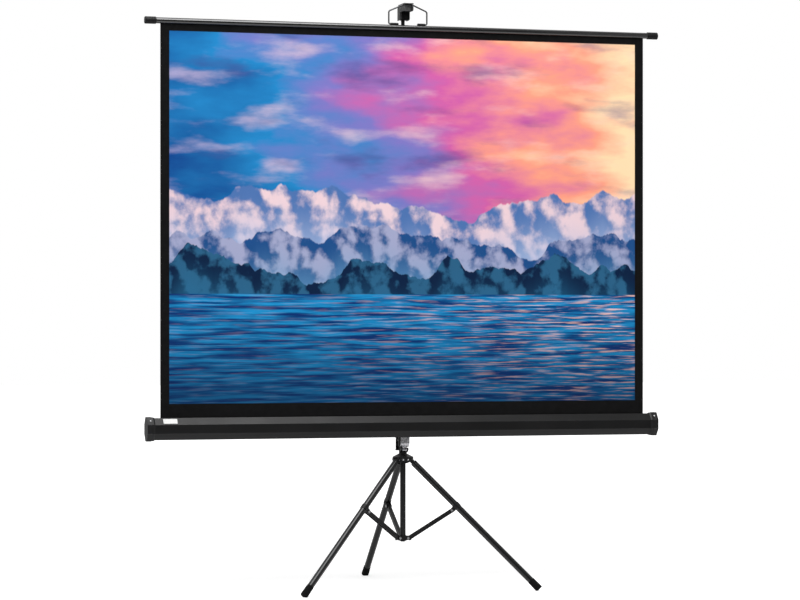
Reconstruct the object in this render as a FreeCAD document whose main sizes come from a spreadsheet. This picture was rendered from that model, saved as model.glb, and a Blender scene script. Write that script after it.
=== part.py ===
import FreeCAD, Part
import math
import operator
import os
from types import SimpleNamespace

import Sketcher
from FreeCAD import Placement, Rotation, Vector

# A portable pull-up projection screen: an octagonal case on a folding tripod, with a spring
# roller inside it, and a slim pole whose hook holds the top rail of the pulled-up fabric.
# Millimetres, +Z up, the picture side faces -Y, and the origin lies on the floor under the
# middle of the whole screen's footprint.

doc = FreeCAD.newDocument("projection_screen")

SIZES = {
    # Fits and cuts
    "fixed_gap": 0.03,
    "running_gap": 0.06,
    "slide_gap": 0.2,
    "side_gap": 0.3,
    "cut_overrun": 6.0,
    # Tripod legs
    "leg_length": 612.0,
    "leg_spread_angle": 46.0,
    "leg_od": 22.0,
    "leg_wall": 1.2,
    "leg_tube_start": 14.0,
    "knuckle_width": 16.0,
    "knuckle_eye_od": 14.0,
    "knuckle_neck": 12.0,
    "knuckle_plug": 26.0,
    "foot_od": 25.4,
    "foot_taper": 0.9,
    "foot_sleeve": 32.0,
    "foot_base": 8.0,
    "foot_flat": 3.0,
    # Hub of the legs
    "hub_pivot_radius": 27.0,
    "hub_boss_od": 32.0,
    "hub_drop": 12.0,
    "hub_rim_od": 70.0,
    "hub_rim": 2.0,
    "hub_skirt": 4.0,
    "hub_skirt_drop": 7.0,
    "hub_roof_height": 8.0,
    "hub_cone_height": 21.0,
    "hub_neck_od": 26.6,
    "hub_neck_top": 45.0,
    "hub_ear": 4.5,
    "hub_ear_margin": 6.5,
    "hub_pin_od": 6.0,
    "pin_head": 2.0,
    "pin_head_flange": 2.0,
    # Braces and their collar
    "brace_station": 220.0,
    "brace_offset": 20.2,
    "brace_length": 178.0,
    "brace_width": 12.0,
    "brace_depth": 14.0,
    "brace_wall": 1.5,
    "brace_rivet_od": 5.0,
    "bracket_wall": 1.5,
    "bracket_length": 16.0,
    "bracket_ear": 2.5,
    "collar_pivot_radius": 21.5,
    "collar_od": 24.0,
    "collar_height": 18.0,
    "collar_ear": 3.0,
    "collar_ear_height": 15.0,
    "collar_ear_margin": 6.0,
    "collar_slot_relief": 2.4,
    # Telescoping tubes, from the inside out
    "pole_od": 12.7,
    "pole_wall": 1.2,
    "pole_engagement": 150.0,
    "centre_tube_od": 19.0,
    "centre_tube_wall": 1.9,
    "centre_tube_length": 500.0,
    "centre_plug_depth": 14.0,
    "centre_plug_flange": 3.0,
    "mast_od": 22.0,
    "mast_wall": 1.3,
    "mast_length": 585.0,
    "carriage_od": 25.4,
    "carriage_length": 675.0,
    # Lock lever on the hub's neck
    "lever_pivot_reach": 18.5,
    "lever_pivot_height": 34.0,
    "lever_eye_od": 9.6,
    "lever_pin_od": 4.0,
    "lever_tongue": 15.2,
    "lever_pad": 30.0,
    "lever_sheet": 2.5,
    "lever_step": 8.5,
    "lever_band_low": 45.0,
    "lever_band_high": 57.0,
    "lever_top": 79.0,
    "lever_ear_width": 26.0,
    "lever_ear_low": 25.0,
    "lever_ear_high": 41.0,
    "lever_ear_reach": 23.5,
    # Lower collar of the carriage and its catch lever
    "catch_collar_od": 33.0,
    "catch_collar_height": 34.0,
    "catch_lug": 19.6,
    "catch_lug_low": 16.0,
    "catch_lug_reach": 27.0,
    "catch_pivot_reach": 24.0,
    "catch_pivot_height": 27.0,
    "catch_pin_od": 5.0,
    "catch_eye_od": 10.0,
    "catch_width": 34.0,
    "catch_sheet": 2.5,
    "catch_drop": 42.0,
    "catch_foot": 8.0,
    # Pole clamp at the top of the carriage
    "clamp_od": 34.0,
    "clamp_below": 22.0,
    "clamp_above": 28.0,
    "clamp_boss_od": 18.0,
    "clamp_boss_reach": 27.0,
    "clamp_screw_height": 14.0,
    "clamp_screw_od": 6.0,
    "knob_od": 34.0,
    "knob_length": 16.0,
    "knob_boss_od": 16.0,
    "knob_boss": 6.0,
    "knob_scallop_od": 9.0,
    # Swivel between carriage and case
    "swivel_block_width": 40.0,
    "swivel_block_height": 48.0,
    "swivel_wall": 5.0,
    "swivel_washer": 2.3,
    "swivel_washer_od": 28.0,
    "swivel_stud_od": 10.0,
    "swivel_stud_bite": 3.5,
    "saddle_length": 110.0,
    "saddle_height": 28.0,
    "saddle_depth": 11.0,
    # Case
    "case_rise": 68.8,
    "case_tall": 72.0,
    "case_deep": 50.0,
    "case_front_flat": 29.0,
    "case_top_flat": 17.0,
    "case_wall": 1.5,
    "case_overall": 1780.0,
    "case_slot": 7.0,
    "cap_band_wall": 4.0,
    "cap_skirt_wall": 3.0,
    "cap_lip_wall": 0.8,
    "cap_band": 15.5,
    "cap_skirt": 6.0,
    "cap_chamfer": 5.0,
    "cap_end": 3.0,
    # Spring roller
    "bearing_inset": 24.0,
    "bearing_plate": 3.0,
    "roller_offset": 8.0,
    "roller_od": 16.0,
    "roller_wall": 1.0,
    "roller_end_play": 2.0,
    "roller_plug": 20.0,
    "roller_plug_bite": 1.5,
    "spindle_od": 8.0,
    "spindle_length": 240.0,
    "spring_od": 13.0,
    "spring_id": 9.0,
    "spring_length": 150.0,
    "wrap": 2.0,
    # Fabric and top rail
    "fabric_margin": 15.0,
    "fabric": 0.6,
    "fabric_tuck": 3.0,
    "rail_rise": 1333.5,
    "rail_od": 20.0,
    "rail_wall": 1.2,
    "rail_overhang": 5.0,
    "rail_cap_od": 24.0,
    "rail_cap_length": 38.0,
    "rail_cap_end": 3.0,
    # Bail and its clips
    "bail_wire": 5.0,
    "bail_span": 133.0,
    "bail_arm": 43.0,
    "bail_slope_angle": 23.6,
    "bail_flat": 37.0,
    "bail_foot": 34.0,
    "bail_bend": 8.0,
    "bail_foot_bend": 5.5,
    "bail_clip_length": 26.0,
    "bail_clip_inset": 6.0,
    "bail_clip_wall": 1.6,
    # Hook head
    "hook_width": 33.0,
    "hook_sheet": 1.8,
    "hook_back": 9.5,
    "hook_front": 70.0,
    "hook_top": 6.4,
    "hook_jaw": 16.5,
    "hook_flange_drop": 27.0,
    "hook_flange_front": 21.0,
    "hook_back_chamfer": 12.0,
    "hook_front_chamfer": 5.0,
    "hook_slot_gap": 0.4,
    "block_width": 29.0,
    "block_socket_od": 18.4,
    "block_front": 34.0,
    "block_upper_front": 50.0,
    "block_drop": 26.0,
    "block_chamfer": 3.0,
    "block_socket_depth": 42.0,
    "hook_rivet_od": 5.0,
    "hook_rivet_reach": 30.0,
    "hook_rivet_drop": 14.0,
}

LEG_AZIMUTHS = {"rear": 90.0, "left": 210.0, "right": 330.0}
FULL_TURN = 360.0
HALF_TURN = 180.0
KNOB_SCALLOPS = 6

ALONG_Z = Rotation()
ALONG_X = Rotation(Vector(0, 1, 0), FULL_TURN / 4)
ALONG_Y = Rotation(Vector(1, 0, 0), -FULL_TURN / 4)

OPERATIONS = {"+": operator.add, "-": operator.sub, "*": operator.mul, "/": operator.truediv}


class Size:
    """A size of the object: its number now, and the sheet expression that it follows."""

    def __init__(self, number, text):
        self.number = number
        self.text = text

    def __add__(self, other):
        return combined(self, "+", other)

    def __radd__(self, other):
        return combined(other, "+", self)

    def __sub__(self, other):
        return combined(self, "-", other)

    def __rsub__(self, other):
        return combined(other, "-", self)

    def __mul__(self, other):
        return combined(self, "*", other)

    def __rmul__(self, other):
        return combined(other, "*", self)

    def __truediv__(self, other):
        return combined(self, "/", other)

    def __neg__(self):
        return combined(0, "-", self)


def as_size(number):
    return number if isinstance(number, Size) else Size(float(number), repr(number))


def combined(left, sign, right):
    left = as_size(left)
    right = as_size(right)
    number = OPERATIONS[sign](left.number, right.number)
    return Size(number, f"({left.text} {sign} {right.text})")


def sine(angle):
    return Size(math.sin(math.radians(angle.number)), f"sin({angle.text} * 1 deg)")


def cosine(angle):
    return Size(math.cos(math.radians(angle.number)), f"cos({angle.text} * 1 deg)")


def tangent(angle):
    return sine(angle) / cosine(angle)


def root(square):
    return Size(math.sqrt(square.number), f"sqrt({square.text})")


def numbers(place):
    return [as_size(length).number for length in place]


def make_sheet():
    """Put every driving size in one named cell of the document's sheet."""
    sheet = doc.addObject("Spreadsheet::Sheet", "sizes")
    for row, (name, number) in enumerate(SIZES.items(), start=1):
        sheet.set(f"A{row}", name)
        sheet.set(f"B{row}", str(number))
        sheet.setAlias(f"B{row}", name)
    doc.recompute()
    return SimpleNamespace(**{name: Size(number, f"sizes.{name}") for name, number in SIZES.items()})


size = make_sheet()


def bound(feature, place=(0, 0, 0), turn=ALONG_Z, **lengths):
    """Tie a primitive's lengths and its place to the sheet."""
    for name, length in lengths.items():
        feature.setExpression(name, as_size(length).text)
    feature.Placement = Placement(Vector(*numbers(place)), turn)
    for axis, length in zip("xyz", place):
        if isinstance(length, Size):
            feature.setExpression(f"Placement.Base.{axis}", length.text)
    return feature


def cylinder(diameter, height, place=(0, 0, 0), turn=ALONG_Z):
    feature = doc.addObject("Part::Cylinder", "cylinder")
    return bound(feature, place, turn, Radius=diameter / 2, Height=height)


def block(across, deep, tall):
    """A box between a low and a high value on each axis."""
    feature = doc.addObject("Part::Box", "block")
    place = (across[0], deep[0], tall[0])
    lengths = [high - low for low, high in (across, deep, tall)]
    return bound(feature, place, Length=lengths[0], Width=lengths[1], Height=lengths[2])


def fused(*pieces):
    feature = doc.addObject("Part::MultiFuse", "fused")
    feature.Shapes = list(pieces)
    return feature


def cut(base, *tools):
    feature = doc.addObject("Part::Cut", "cut")
    feature.Base = base
    feature.Tool = tools[0] if len(tools) == 1 else fused(*tools)
    return feature


def shared(first, second):
    feature = doc.addObject("Part::Common", "shared")
    feature.Base = first
    feature.Tool = second
    return feature


def grouped(pieces):
    feature = doc.addObject("Part::Compound", "group")
    feature.Links = pieces
    return feature


def centred(width):
    return (-width / 2, width / 2)


def tube(outer, inner, length, place=(0, 0, 0), turn=ALONG_Z):
    """A tube along its own axis, bored right through."""
    start = [coordinate - turned * size.cut_overrun
             for coordinate, turned in zip(place, turn.multVec(Vector(0, 0, 1)))]
    bore = cylinder(inner, length + 2 * size.cut_overrun, start, turn)
    return cut(cylinder(outer, length, place, turn), bore)


def add_outline(sketch, corners):
    """A closed outline whose corners are tied to the sheet."""
    first = sketch.GeometryCount
    points = [Vector(*numbers(corner), 0) for corner in corners]
    count = len(points)
    for index, point in enumerate(points):
        sketch.addGeometry(Part.LineSegment(point, points[(index + 1) % count]))
    for index, corner in enumerate(corners):
        line = first + index
        following = first + (index + 1) % count
        sketch.addConstraint(Sketcher.Constraint("Coincident", line, 2, following, 1))
        tie_point(sketch, line, 1, corner)


def tie_point(sketch, geometry, end, place):
    for direction, length in zip(("DistanceX", "DistanceY"), place):
        length = as_size(length)
        tie = Sketcher.Constraint(direction, -1, 1, geometry, end, length.number)
        index = sketch.addConstraint(tie)
        sketch.setExpression(f"Constraints[{index}]", length.text)


def add_circle(sketch, centre, diameter):
    radius = diameter / 2
    circle = Part.Circle(Vector(*numbers(centre), 0), Vector(0, 0, 1), radius.number)
    geometry = sketch.addGeometry(circle)
    index = sketch.addConstraint(Sketcher.Constraint("Radius", geometry, radius.number))
    sketch.setExpression(f"Constraints[{index}]", radius.text)
    tie_point(sketch, geometry, 3, centre)


def sketched(body, plane, outlines=(), circles=(), offset=None):
    """A sketch on one of the body's own planes, XY, XZ or YZ, or moved off it by an offset."""
    sketch = body.newObject("Sketcher::SketchObject", "outline")
    role = f"{plane}_Plane"
    support = next(item for item in body.Origin.OriginFeatures if item.Role == role)
    sketch.AttachmentSupport = [(support, "")]
    sketch.MapMode = "FlatFace"
    if offset is not None:
        sketch.setExpression("AttachmentOffset.Base.z", offset.text)
    for corners in outlines:
        add_outline(sketch, corners)
    for centre, diameter in circles:
        add_circle(sketch, centre, diameter)
    return sketch


def padded(body, sketch, length, both_ways=False):
    pad = body.newObject("PartDesign::Pad", "pad")
    pad.Profile = sketch
    pad.setExpression("Length", length.text)
    pad.Midplane = both_ways
    return pad


def pocketed(body, sketch, width):
    """A pocket of one width, half of it on each side of the sketch."""
    pocket = body.newObject("PartDesign::Pocket", "pocket")
    pocket.Profile = sketch
    pocket.setExpression("Length", width.text)
    pocket.Midplane = True
    return pocket


def turned(body, corners):
    """A solid of revolution about the body's Z axis, from an outline of radius and height."""
    sketch = sketched(body, "XZ", [corners])
    revolution = body.newObject("PartDesign::Revolution", "turned")
    revolution.Profile = sketch
    revolution.ReferenceAxis = (sketch, ["V_Axis"])
    revolution.Angle = FULL_TURN
    return revolution


def patterned(body, features, count):
    """The features repeated evenly round the body's Z axis."""
    axis = next(item for item in body.Origin.OriginFeatures if item.Role == "Z_Axis")
    pattern = body.newObject("PartDesign::PolarPattern", "round")
    pattern.Originals = features
    pattern.Axis = (axis, [""])
    pattern.Angle = FULL_TURN
    pattern.Occurrences = count
    body.Tip = pattern
    return pattern


def new_body():
    return doc.addObject("PartDesign::Body", "body")


sub_parts = []


def sub_part(label, feature, placement=None):
    """Name a finished piece and put it in its place."""
    feature.Label = label
    if placement is not None:
        feature.Placement = placement
    sub_parts.append(feature)
    return feature


# Heights and places that follow from the tripod's stance
foot_radius = size.foot_od / 2
lean_sine = sine(size.leg_spread_angle)
lean_cosine = cosine(size.leg_spread_angle)
foot_centre_height = foot_radius * lean_sine - size.foot_flat
hub_height = size.leg_length * lean_cosine + foot_centre_height
foot_reach = size.hub_pivot_radius + size.leg_length * lean_sine
front_leg_angle = as_size(LEG_AZIMUTHS["left"] - HALF_TURN)
front_sine = sine(front_leg_angle)
front_cosine = cosine(front_leg_angle)
rear_extent = foot_reach + foot_radius * lean_cosine
foot_half_depth = root(
    (lean_cosine * front_sine) * (lean_cosine * front_sine) + front_cosine * front_cosine)
front_extent = foot_reach * front_sine + foot_radius * foot_half_depth
mast_y = (front_extent - rear_extent) / 2

MAST_FRAME = Placement(Vector(0, mast_y.number, 0), ALONG_Z)
UPRIGHT = Vector(0, 0, 1)
TANGENT = Vector(0, 1, 0)


def radial_frame(azimuth):
    """The mast's frame turned so that X points outwards along one leg."""
    return MAST_FRAME * Placement(Vector(), Rotation(UPRIGHT, azimuth))


def leg_frame(azimuth):
    """Origin on the hub's pin, Z down the leg, X towards the leg's underside."""
    pivot = Vector(size.hub_pivot_radius.number, 0, hub_height.number)
    lean = Rotation(TANGENT, HALF_TURN - size.leg_spread_angle.number)
    return radial_frame(azimuth) * Placement(pivot, lean)


# Linkage of the braces at rest, in the plane of one leg
brace_pivot_radius = (size.hub_pivot_radius + size.brace_station * lean_sine
                      - size.brace_offset * lean_cosine)
brace_pivot_height = (hub_height - size.brace_station * lean_cosine
                      - size.brace_offset * lean_sine)
brace_run = brace_pivot_radius - size.collar_pivot_radius
brace_fall = root(size.brace_length * size.brace_length - brace_run * brace_run)
collar_height = brace_pivot_height - brace_fall
brace_angle = math.degrees(math.atan2(brace_run.number, brace_fall.number))


def brace_frame(azimuth):
    """Origin on the brace's upper rivet, Z down the brace to the collar."""
    pivot = Vector(brace_pivot_radius.number, 0, brace_pivot_height.number)
    lean = Rotation(TANGENT, HALF_TURN + brace_angle)
    return radial_frame(azimuth) * Placement(pivot, lean)


# Places of the pieces above the hub, from the mast's axis and the floor
neck_top = hub_height + size.hub_neck_top
hub_base = hub_height - size.hub_drop
carriage_top = neck_top + size.carriage_length
case_height = neck_top + size.case_rise
block_front_y = -(size.carriage_od / 2 + size.swivel_wall)
washer_front_y = block_front_y - size.swivel_washer
saddle_front_y = washer_front_y - size.saddle_depth
case_y = saddle_front_y - size.case_deep / 2
roller_y = case_y + size.roller_offset
wrap_od = size.roller_od + 2 * size.wrap
fabric_y = roller_y - wrap_od / 2 - size.side_gap - size.fabric / 2
rail_height = case_height + size.rail_rise
bail_height = rail_height + size.rail_od / 2 + size.bail_wire / 2 + size.side_gap
bail_shoulder = bail_height + size.bail_arm
bail_apex = bail_shoulder + (size.bail_span - size.bail_flat) / 2 * tangent(size.bail_slope_angle)
hook_top = bail_apex + size.hook_top
wire_low = bail_apex - size.bail_wire / 2
wire_high = bail_apex + size.bail_wire / 2
inner_wall = size.hook_width / 2 - size.hook_sheet
arm_low = wire_low - size.hook_jaw
shell_length = size.case_overall - 2 * size.cap_end
bearing_x = shell_length / 2 - size.bearing_inset
roller_end_x = bearing_x - size.bearing_plate - size.roller_end_play
fabric_width = 2 * roller_end_x - 2 * size.fabric_margin
rail_overall = size.case_overall + 2 * size.rail_overhang


def rivet(diameter, grip, place=(0, 0, 0), turn=ALONG_Y):
    """A shaft of one grip, centred on its place, with a flanged head tapering at each end."""
    body = new_body()
    shaft = diameter / 2
    head = shaft + size.pin_head_flange
    crown = shaft + size.pin_head_flange / 2
    end = grip / 2
    tip = end + size.pin_head
    turned(body, [
        (0, -tip), (crown, -tip), (head, -end), (shaft, -end),
        (shaft, end), (head, end), (crown, tip), (0, tip)])
    body.Placement = Placement(Vector(*numbers(place)), turn)
    return body


def octagon(growth):
    """The corners of the case's eight-sided section, grown evenly outwards."""
    run = (size.case_deep - size.case_top_flat) / 2
    rise = (size.case_tall - size.case_front_flat) / 2
    slant = root(run * run + rise * rise)
    deep = size.case_deep / 2 + growth
    tall = size.case_tall / 2 + growth
    front = size.case_front_flat / 2 + growth * (slant - rise) / run
    top = size.case_top_flat / 2 + growth * (slant - run) / rise
    return [(deep, -front), (deep, front), (top, tall), (-top, tall),
            (-deep, front), (-deep, -front), (-top, -tall), (top, -tall)]


def make_hub():
    """Moulded hub: a skirted cone over three clevises, and a neck with ears for the lock lever."""
    body = new_body()
    bore = size.mast_od / 2 + size.fixed_gap
    boss = size.hub_boss_od / 2
    rim = size.hub_rim_od / 2
    neck = size.hub_neck_od / 2
    roof = size.hub_roof_height
    turned(body, [
        (bore, -size.hub_drop), (boss, -size.hub_drop), (boss, roof), (rim - size.hub_skirt, roof),
        (rim - size.hub_skirt, -size.hub_skirt_drop), (rim, -size.hub_skirt_drop),
        (rim, roof + size.hub_rim), (neck, size.hub_cone_height),
        (neck, size.hub_neck_top), (bore, size.hub_neck_top)])
    reach = size.hub_pivot_radius + size.hub_ear_margin
    slot = size.knuckle_width + 2 * size.side_gap
    over_ears = slot + 2 * size.hub_ear
    root_radius = (boss + bore) / 2
    over_pin = over_ears + 2 * size.pin_head + 2 * size.side_gap
    doorway = pocketed(body, sketched(body, "XZ", [[
        (boss, -size.hub_drop - size.cut_overrun), (boss, roof), (rim + size.cut_overrun, roof),
        (rim + size.cut_overrun, -size.hub_drop - size.cut_overrun)]]), over_pin)
    ears = padded(body, sketched(body, "XZ", [[
        (root_radius, roof + size.hub_rim / 2), (reach, roof + size.hub_rim / 2),
        (reach, -size.hub_ear_margin / 2), (size.hub_pivot_radius, -size.hub_ear_margin),
        (root_radius, -size.hub_drop)]]), over_ears, True)
    gap = pocketed(body, sketched(body, "XZ", [[
        (boss, -size.hub_drop - size.cut_overrun), (boss, roof),
        (reach + size.cut_overrun, roof),
        (reach + size.cut_overrun, -size.hub_drop - size.cut_overrun)]]), slot)
    pin = (size.hub_pivot_radius, 0)
    hole = pocketed(body, sketched(body, "XZ", circles=[
        (pin, size.hub_pin_od + 2 * size.fixed_gap)]), over_ears + size.cut_overrun)
    patterned(body, [doorway, ears, gap, hole], len(LEG_AZIMUTHS))
    make_lever_ears(body, (bore + neck) / 2)
    return body


def make_lever_ears(body, root_radius):
    """Two ears on the front of the hub's neck, either side of the lever's tongue."""
    low = size.lever_ear_low
    high = size.lever_ear_high
    reach = size.lever_ear_reach
    padded(body, sketched(body, "XZ", [[
        (-root_radius, low), (-root_radius, high), (-reach, high),
        (-reach, (low + high) / 2)]]), size.lever_ear_width, True)
    slot = size.lever_tongue + 2 * size.side_gap
    neck = size.hub_neck_od / 2
    pocketed(body, sketched(body, "XZ", [[
        (-neck, low - size.cut_overrun), (-neck, high + size.cut_overrun),
        (-reach - size.cut_overrun, high + size.cut_overrun),
        (-reach - size.cut_overrun, low - size.cut_overrun)]]), slot)
    pin = (-size.lever_pivot_reach, size.lever_pivot_height)
    body.Tip = pocketed(body, sketched(body, "XZ", circles=[
        (pin, size.lever_pin_od + 2 * size.fixed_gap)]), size.lever_ear_width + size.cut_overrun)


def make_stand():
    hub_frame = radial_frame(LEG_AZIMUTHS["rear"])
    hub_frame.Base = hub_frame.Base + Vector(0, 0, hub_height.number)
    sub_part("leg_hub", make_hub(), hub_frame)
    mast = tube(size.mast_od, size.mast_od - 2 * size.mast_wall, size.mast_length, (0, 0, hub_base))
    sub_part("mast_tube", mast, MAST_FRAME)
    grip = size.knuckle_width + 2 * size.side_gap + 2 * size.hub_ear
    pins = []
    for azimuth in LEG_AZIMUTHS.values():
        pin = rivet(size.hub_pin_od, grip)
        pivot = Placement(Vector(size.hub_pivot_radius.number, 0, hub_height.number), ALONG_Y)
        pin.Placement = radial_frame(azimuth) * pivot
        pins.append(pin)
    sub_part("leg_pivot_pins", grouped(pins))
    lever_pin = cylinder(
        size.lever_pin_od, size.lever_ear_width,
        (-size.lever_ear_width / 2, -size.lever_pivot_reach, hub_height + size.lever_pivot_height),
        ALONG_X)
    sub_part("lever_pin", grouped([lever_pin]), MAST_FRAME)


def make_leg(side, azimuth):
    """One leg in its own frame: tube, knuckle on the hub's pin, rubber foot, brace bracket."""
    frame = leg_frame(azimuth)
    tube_end = size.leg_length - size.foot_base
    bore = size.leg_od - 2 * size.leg_wall
    leg = tube(size.leg_od, bore, tube_end - size.leg_tube_start, (0, 0, size.leg_tube_start))
    sub_part(f"leg_tube_{side}", leg, frame)
    half_width = size.knuckle_width / 2
    eye = cylinder(size.knuckle_eye_od, size.knuckle_width, (0, -half_width, 0), ALONG_Y)
    neck = block(centred(size.knuckle_neck), centred(size.knuckle_width), (0, size.leg_tube_start))
    plug = cylinder(
        bore - 2 * size.fixed_gap, size.knuckle_plug + size.leg_wall,
        (0, 0, size.leg_tube_start - size.leg_wall))
    pin_hole = cylinder(
        size.hub_pin_od + 2 * size.running_gap, size.knuckle_width + 2 * size.cut_overrun,
        (0, -half_width - size.cut_overrun, 0), ALONG_Y)
    sub_part(f"leg_knuckle_{side}", cut(fused(eye, neck, plug), pin_hole), frame)
    sub_part(f"leg_foot_{side}", make_foot(tube_end), frame)
    sub_part(f"leg_bracket_{side}", make_leg_bracket(), frame)


def make_foot(tube_end):
    """Rubber cup on the leg's end, worn to a flat where it stands on the floor."""
    body = new_body()
    bore = size.leg_od / 2 + size.fixed_gap
    start = tube_end - size.foot_sleeve
    turned(body, [
        (bore, start), (foot_radius - size.foot_taper, start), (foot_radius, tube_end),
        (foot_radius, size.leg_length), (0, size.leg_length), (0, tube_end), (bore, tube_end)])
    floor_place = (
        foot_centre_height * lean_sine, 0, size.leg_length + foot_centre_height * lean_cosine)
    floor = cylinder(
        2 * size.foot_od, size.foot_od, floor_place,
        Rotation(TANGENT, size.leg_spread_angle.number))
    return cut(body, floor)


def make_leg_bracket():
    """Strap round the leg with two ears under it for the brace's upper rivet."""
    station = size.brace_station
    half = size.bracket_length / 2
    strap = cylinder(
        size.leg_od + 2 * size.bracket_wall, size.bracket_length, (0, 0, station - half))
    inner = size.brace_width / 2 + size.side_gap
    outer = inner + size.bracket_ear
    ear_od = size.brace_depth
    ears = []
    for near, far in ((inner, outer), (-outer, -inner)):
        ears.append(block((0, size.brace_offset), (near, far), (station - ear_od / 2, station + ear_od / 2)))
        ears.append(cylinder(ear_od, size.bracket_ear, (size.brace_offset, near, station), ALONG_Y))
    bore = cylinder(
        size.leg_od + 2 * size.fixed_gap, size.bracket_length + 2 * size.cut_overrun,
        (0, 0, station - half - size.cut_overrun))
    rivet_hole = cylinder(
        size.brace_rivet_od + 2 * size.running_gap, 2 * outer + 2 * size.cut_overrun,
        (size.brace_offset, -outer - size.cut_overrun, station), ALONG_Y)
    return cut(fused(strap, *ears), bore, rivet_hole)


def make_brace(side, azimuth):
    """Pressed steel channel with rounded ends, and the two rivets that turn in its neighbours."""
    frame = brace_frame(azimuth)
    half_depth = size.brace_depth / 2
    half_width = size.brace_width / 2
    length = size.brace_length
    bar = block((-half_depth, half_depth), (-half_width, half_width), (0, length))
    ends = [cylinder(size.brace_depth, size.brace_width, (0, -half_width, station), ALONG_Y)
            for station in (0, length)]
    inside = half_width - size.brace_wall
    channel = block(
        (-half_depth - size.cut_overrun, half_depth - size.brace_wall), (-inside, inside),
        (-half_depth - size.cut_overrun, length + half_depth + size.cut_overrun))
    hole = size.brace_rivet_od + 2 * size.fixed_gap
    holes = [cylinder(hole, size.brace_width + 2 * size.cut_overrun,
                      (0, -half_width - size.cut_overrun, station), ALONG_Y)
             for station in (0, length)]
    sub_part(f"brace_{side}", cut(fused(bar, *ends), channel, *holes), frame)
    over_brace = size.brace_width + 2 * size.side_gap
    upper = rivet(size.brace_rivet_od, over_brace + 2 * size.bracket_ear + 2 * size.side_gap)
    lower = rivet(
        size.brace_rivet_od, over_brace + 2 * size.collar_ear + 2 * size.side_gap, (0, 0, length))
    sub_part(f"brace_rivets_{side}", grouped([upper, lower]), frame)


def make_collar_lug(azimuth):
    """Two ears with slots that open downwards, so that the brace's rivet drops out of them."""
    radius = size.collar_pivot_radius
    inner = size.brace_width / 2 + size.side_gap
    outer = inner + size.collar_ear
    half = size.collar_ear_height / 2
    reach = radius + size.collar_ear_margin
    base = size.centre_tube_od / 4
    ears = fused(*[block((base, reach), span, (-half, half)) for span in ((inner, outer), (-outer, -inner))])
    seat = size.brace_rivet_od / 2 + size.running_gap
    mouth = block(
        (radius - seat - size.collar_slot_relief, radius + seat),
        (-outer - size.cut_overrun, outer + size.cut_overrun), (-half - size.cut_overrun, 0))
    crown = cylinder(
        2 * seat, 2 * outer + 2 * size.cut_overrun, (radius, -outer - size.cut_overrun, 0), ALONG_Y)
    lug = cut(ears, mouth, crown)
    lug.Placement = Placement(Vector(), Rotation(UPRIGHT, azimuth))
    return lug


def make_centre_tube():
    """The tube that the braces push down out of the mast as the legs fold, with its collar."""
    base = collar_height - size.collar_height / 2
    bore = size.centre_tube_od - 2 * size.centre_tube_wall
    centre = tube(size.centre_tube_od, bore, size.centre_tube_length, (0, 0, base))
    sub_part("centre_tube", centre, MAST_FRAME)
    half = size.collar_height / 2
    ring = cylinder(size.collar_od, size.collar_height, (0, 0, -half))
    lugs = [make_collar_lug(azimuth) for azimuth in LEG_AZIMUTHS.values()]
    hole = cylinder(
        size.centre_tube_od + 2 * size.fixed_gap, size.collar_height + 2 * size.cut_overrun,
        (0, 0, -half - size.cut_overrun))
    collar_frame = MAST_FRAME * Placement(Vector(0, 0, collar_height.number), ALONG_Z)
    sub_part("brace_collar", cut(fused(ring, *lugs), hole), collar_frame)
    plug = new_body()
    plug_radius = bore / 2 - size.fixed_gap
    turned(plug, [
        (0, -size.centre_plug_flange), (plug_radius, -size.centre_plug_flange),
        (size.centre_tube_od / 2, 0), (plug_radius, 0),
        (plug_radius, size.centre_plug_depth), (0, size.centre_plug_depth)])
    sub_part("centre_tube_plug", plug, MAST_FRAME * Placement(Vector(0, 0, base.number), ALONG_Z))


def make_lock_lever():
    """Chromed lever on the hub's neck: a tongue on its pin, and a pad that steps forward."""
    body = new_body()
    reach = size.lever_pivot_reach
    half = size.lever_sheet / 2
    pin = (-reach, size.lever_pivot_height)
    padded(body, sketched(body, "YZ", circles=[(pin, size.lever_eye_od)]), size.lever_tongue, True)
    padded(body, sketched(body, "YZ", [[
        (-reach + half, size.lever_pivot_height), (-reach + half, size.lever_band_low + half),
        (-reach - half, size.lever_band_low + half), (-reach - half, size.lever_pivot_height)]]),
        size.lever_tongue, True)
    front = reach + size.lever_step
    padded(body, sketched(body, "YZ", [[
        (-reach + half, size.lever_band_low + half), (-front + half, size.lever_band_high + half),
        (-front + half, size.lever_top), (-front - half, size.lever_top),
        (-front - half, size.lever_band_high - half), (-reach - half, size.lever_band_low - half),
        (-reach + half, size.lever_band_low - half)]]), size.lever_pad, True)
    body.Tip = pocketed(body, sketched(body, "YZ", circles=[
        (pin, size.lever_pin_od + 2 * size.running_gap)]), size.lever_pad)
    frame = MAST_FRAME * Placement(Vector(0, 0, hub_height.number), ALONG_Z)
    sub_part("lock_lever", body, frame)


def make_carriage():
    """Outer tube that slides on the mast, its catch collar, and the pole clamp on its top."""
    bore = size.mast_od + 2 * size.slide_gap
    outer = tube(size.carriage_od, bore, size.carriage_length, (0, 0, neck_top))
    sub_part("carriage_tube", outer, MAST_FRAME)
    make_catch()
    make_pole_clamp()


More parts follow.
